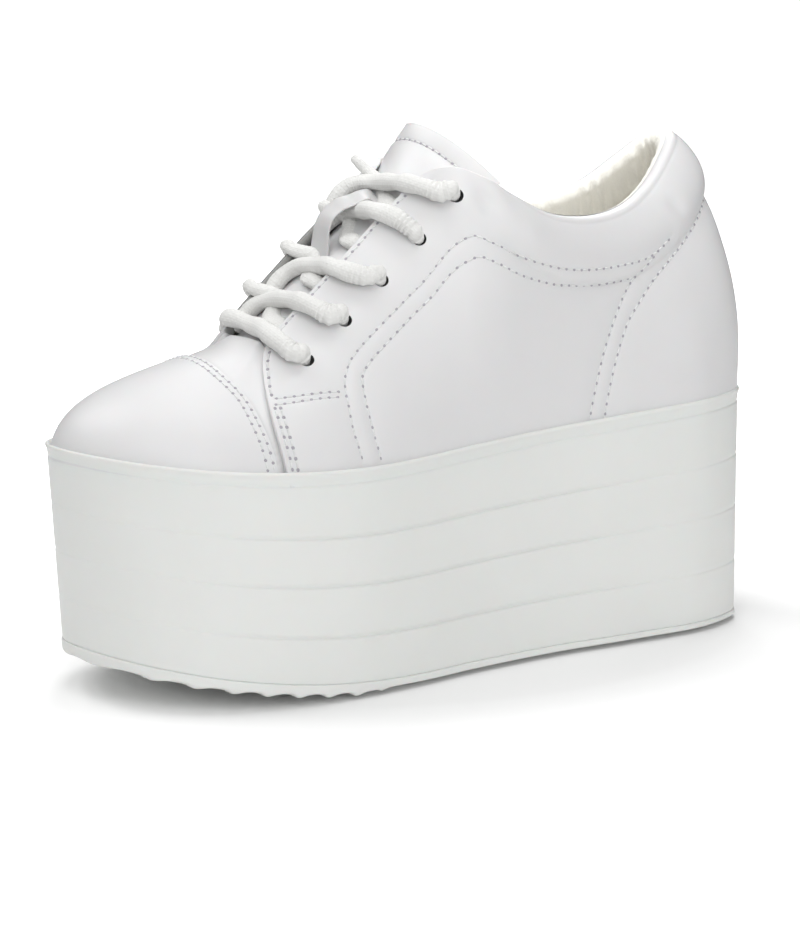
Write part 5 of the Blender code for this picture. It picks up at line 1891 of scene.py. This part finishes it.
@dataclass
class Studio:
    """Camera, lights, bright surroundings and the floor.

    Attributes:
        azimuth, rise: where the camera stands, one metre away, in degrees.
        eye_height: height of the place it circles, in metres.
        white: how bright the surround is to the camera.
        glow_scale, glow_shift: the oval outside which the floor glows.
        glow_slope, glow_start: how fast that glow grows and where it starts.
    """

    azimuth: float = 33.7
    rise: float = 9.37
    eye_height: float = 0.080
    focal: float = 117.33
    sensor: float = 36.0
    shift: tuple[float, float] = (-0.00115, -0.0669)
    white: float = 1.1
    floor_half: float = 3000.0
    floor_rows: int = 12
    glow_scale: tuple[float, float, float] = (5.6, 8.4, 0.0)
    glow_shift: tuple[float, float, float] = (0.12, 0.0, 0.0)
    glow_slope: float = 0.55
    glow_start: float = -0.33

    def camera(self) -> None:
        """A long lens at the shoe's outer front quarter, a little above it, off centre."""
        lens = bpy.data.cameras.new("camera")
        lens.lens, lens.sensor_width = self.focal, self.sensor
        lens.shift_x, lens.shift_y = self.shift
        lens.clip_start, lens.clip_end = 0.05, 20.0
        eye = bpy.data.objects.new("camera", lens)
        azimuth, rise = math.radians(self.azimuth), math.radians(self.rise)
        eye.location = (math.sin(azimuth) * math.cos(rise), math.cos(azimuth) * math.cos(rise),
                        self.eye_height + math.sin(rise))
        eye.rotation_euler = (math.pi / 2 - rise, 0.0, math.pi - azimuth)
        bpy.context.scene.collection.objects.link(eye)
        bpy.context.scene.camera = eye

    def lights(self) -> None:
        """Hang the lamps, each turned to its aim, then make the surround."""
        for lamp in LAMPS:
            light = bpy.data.lights.new(lamp.name, "AREA")
            light.shape, light.size, light.size_y = "RECTANGLE", *lamp.size
            light.energy = lamp.power
            thing = bpy.data.objects.new(lamp.name, light)
            way = np.array(lamp.aim) - lamp.place
            thing.location = lamp.place
            thing.rotation_euler = (math.atan2(math.hypot(way[0], way[1]), -way[2]), 0.0,
                                    math.atan2(way[1], way[0]) - math.pi / 2)
            bpy.context.scene.collection.objects.link(thing)
        self.surround()
        bpy.context.scene.view_settings.view_transform = "Standard"

    def surround(self) -> None:
        """The surround: white to the camera, and to the shoe a sum of broad glows.

        Each glow is its level times a power of the cosine to its middle.
        """
        world = bpy.data.worlds.new("surround")
        world.use_nodes = True
        graph = Graph(world.node_tree)
        background = world.node_tree.nodes["Background"]
        way = graph.node("ShaderNodeTexCoord").outputs["Generated"]
        glow = 0.0
        for side in SURROUND:
            toward = graph.node("ShaderNodeVectorMath", operation="DOT_PRODUCT", in_0=way,
                                in_1=side.way)
            facing = graph.math("MAXIMUM", toward.outputs["Value"], 0.0)
            lobe = graph.math("POWER", facing, side.narrow)
            glow = graph.math("MULTIPLY_ADD", lobe, side.level, glow)
        seen = graph.node("ShaderNodeLightPath").outputs["Is Camera Ray"]
        strength = graph.node("ShaderNodeMix", data_type="FLOAT", in_0=seen, in_2=glow,
                              in_3=self.white)
        graph.feed(background, {"Color": (1.0, 1.0, 1.0, 1.0), "Strength": strength.outputs[0]})
        bpy.context.scene.world = world

    def floor(self) -> None:
        """A broad white floor that glows into the surround's white outside an oval."""
        line = np.linspace(-self.floor_half, self.floor_half, self.floor_rows)
        x, y = np.meshgrid(line, line, indexing="ij")
        material = bpy.data.materials.new("floor")
        material.use_nodes = True
        graph = Graph(material.node_tree)
        where = graph.node("ShaderNodeTexCoord").outputs["Object"]
        oval = graph.node("ShaderNodeVectorMath", operation="MULTIPLY_ADD", in_0=where,
                          in_1=self.glow_scale, in_2=self.glow_shift)
        away = graph.node("ShaderNodeVectorMath", operation="LENGTH", in_0=oval.outputs[0])
        far = graph.math("MULTIPLY_ADD", away.outputs["Value"], self.glow_slope,
                         self.glow_start, clamp=True)
        seen = graph.node("ShaderNodeLightPath").outputs["Is Camera Ray"]
        graph.feed(material.node_tree.nodes["Principled BSDF"], {
            "Base Color": (0.97, 0.97, 0.97, 1.0), "Roughness": 0.9,
            "Emission Color": (1.0, 1.0, 1.0, 1.0),
            "Emission Strength": graph.math("MULTIPLY", far, seen)})
        put_grid("floor", np.stack([x, y, 0 * x], axis=-1), material)


def main() -> None:
    """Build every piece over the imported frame."""
    logging.basicConfig(level=logging.INFO, format="%(message)s")
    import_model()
    studio = Studio()
    studio.camera()
    last = Last()
    dress = Dress(last)
    finishes = Finishes()
    sole = Sole(last)
    sole.block(finishes.sole)
    sole.tread(finishes.tread)
    upper = Upper(last, dress, finishes)
    upper.quarters()
    upper.vamp()
    upper.toe_cap()
    upper.lining()
    upper.eyelets()
    upper.stitches()
    inside = Inside(last, finishes)
    inside.insole()
    inside.tongue()
    inside.tongue_stitches()
    laces = Laces(dress, finishes)
    laces.make()
    laces.loop()
    studio.lights()
    studio.floor()


if __name__ == "__main__":
    main()
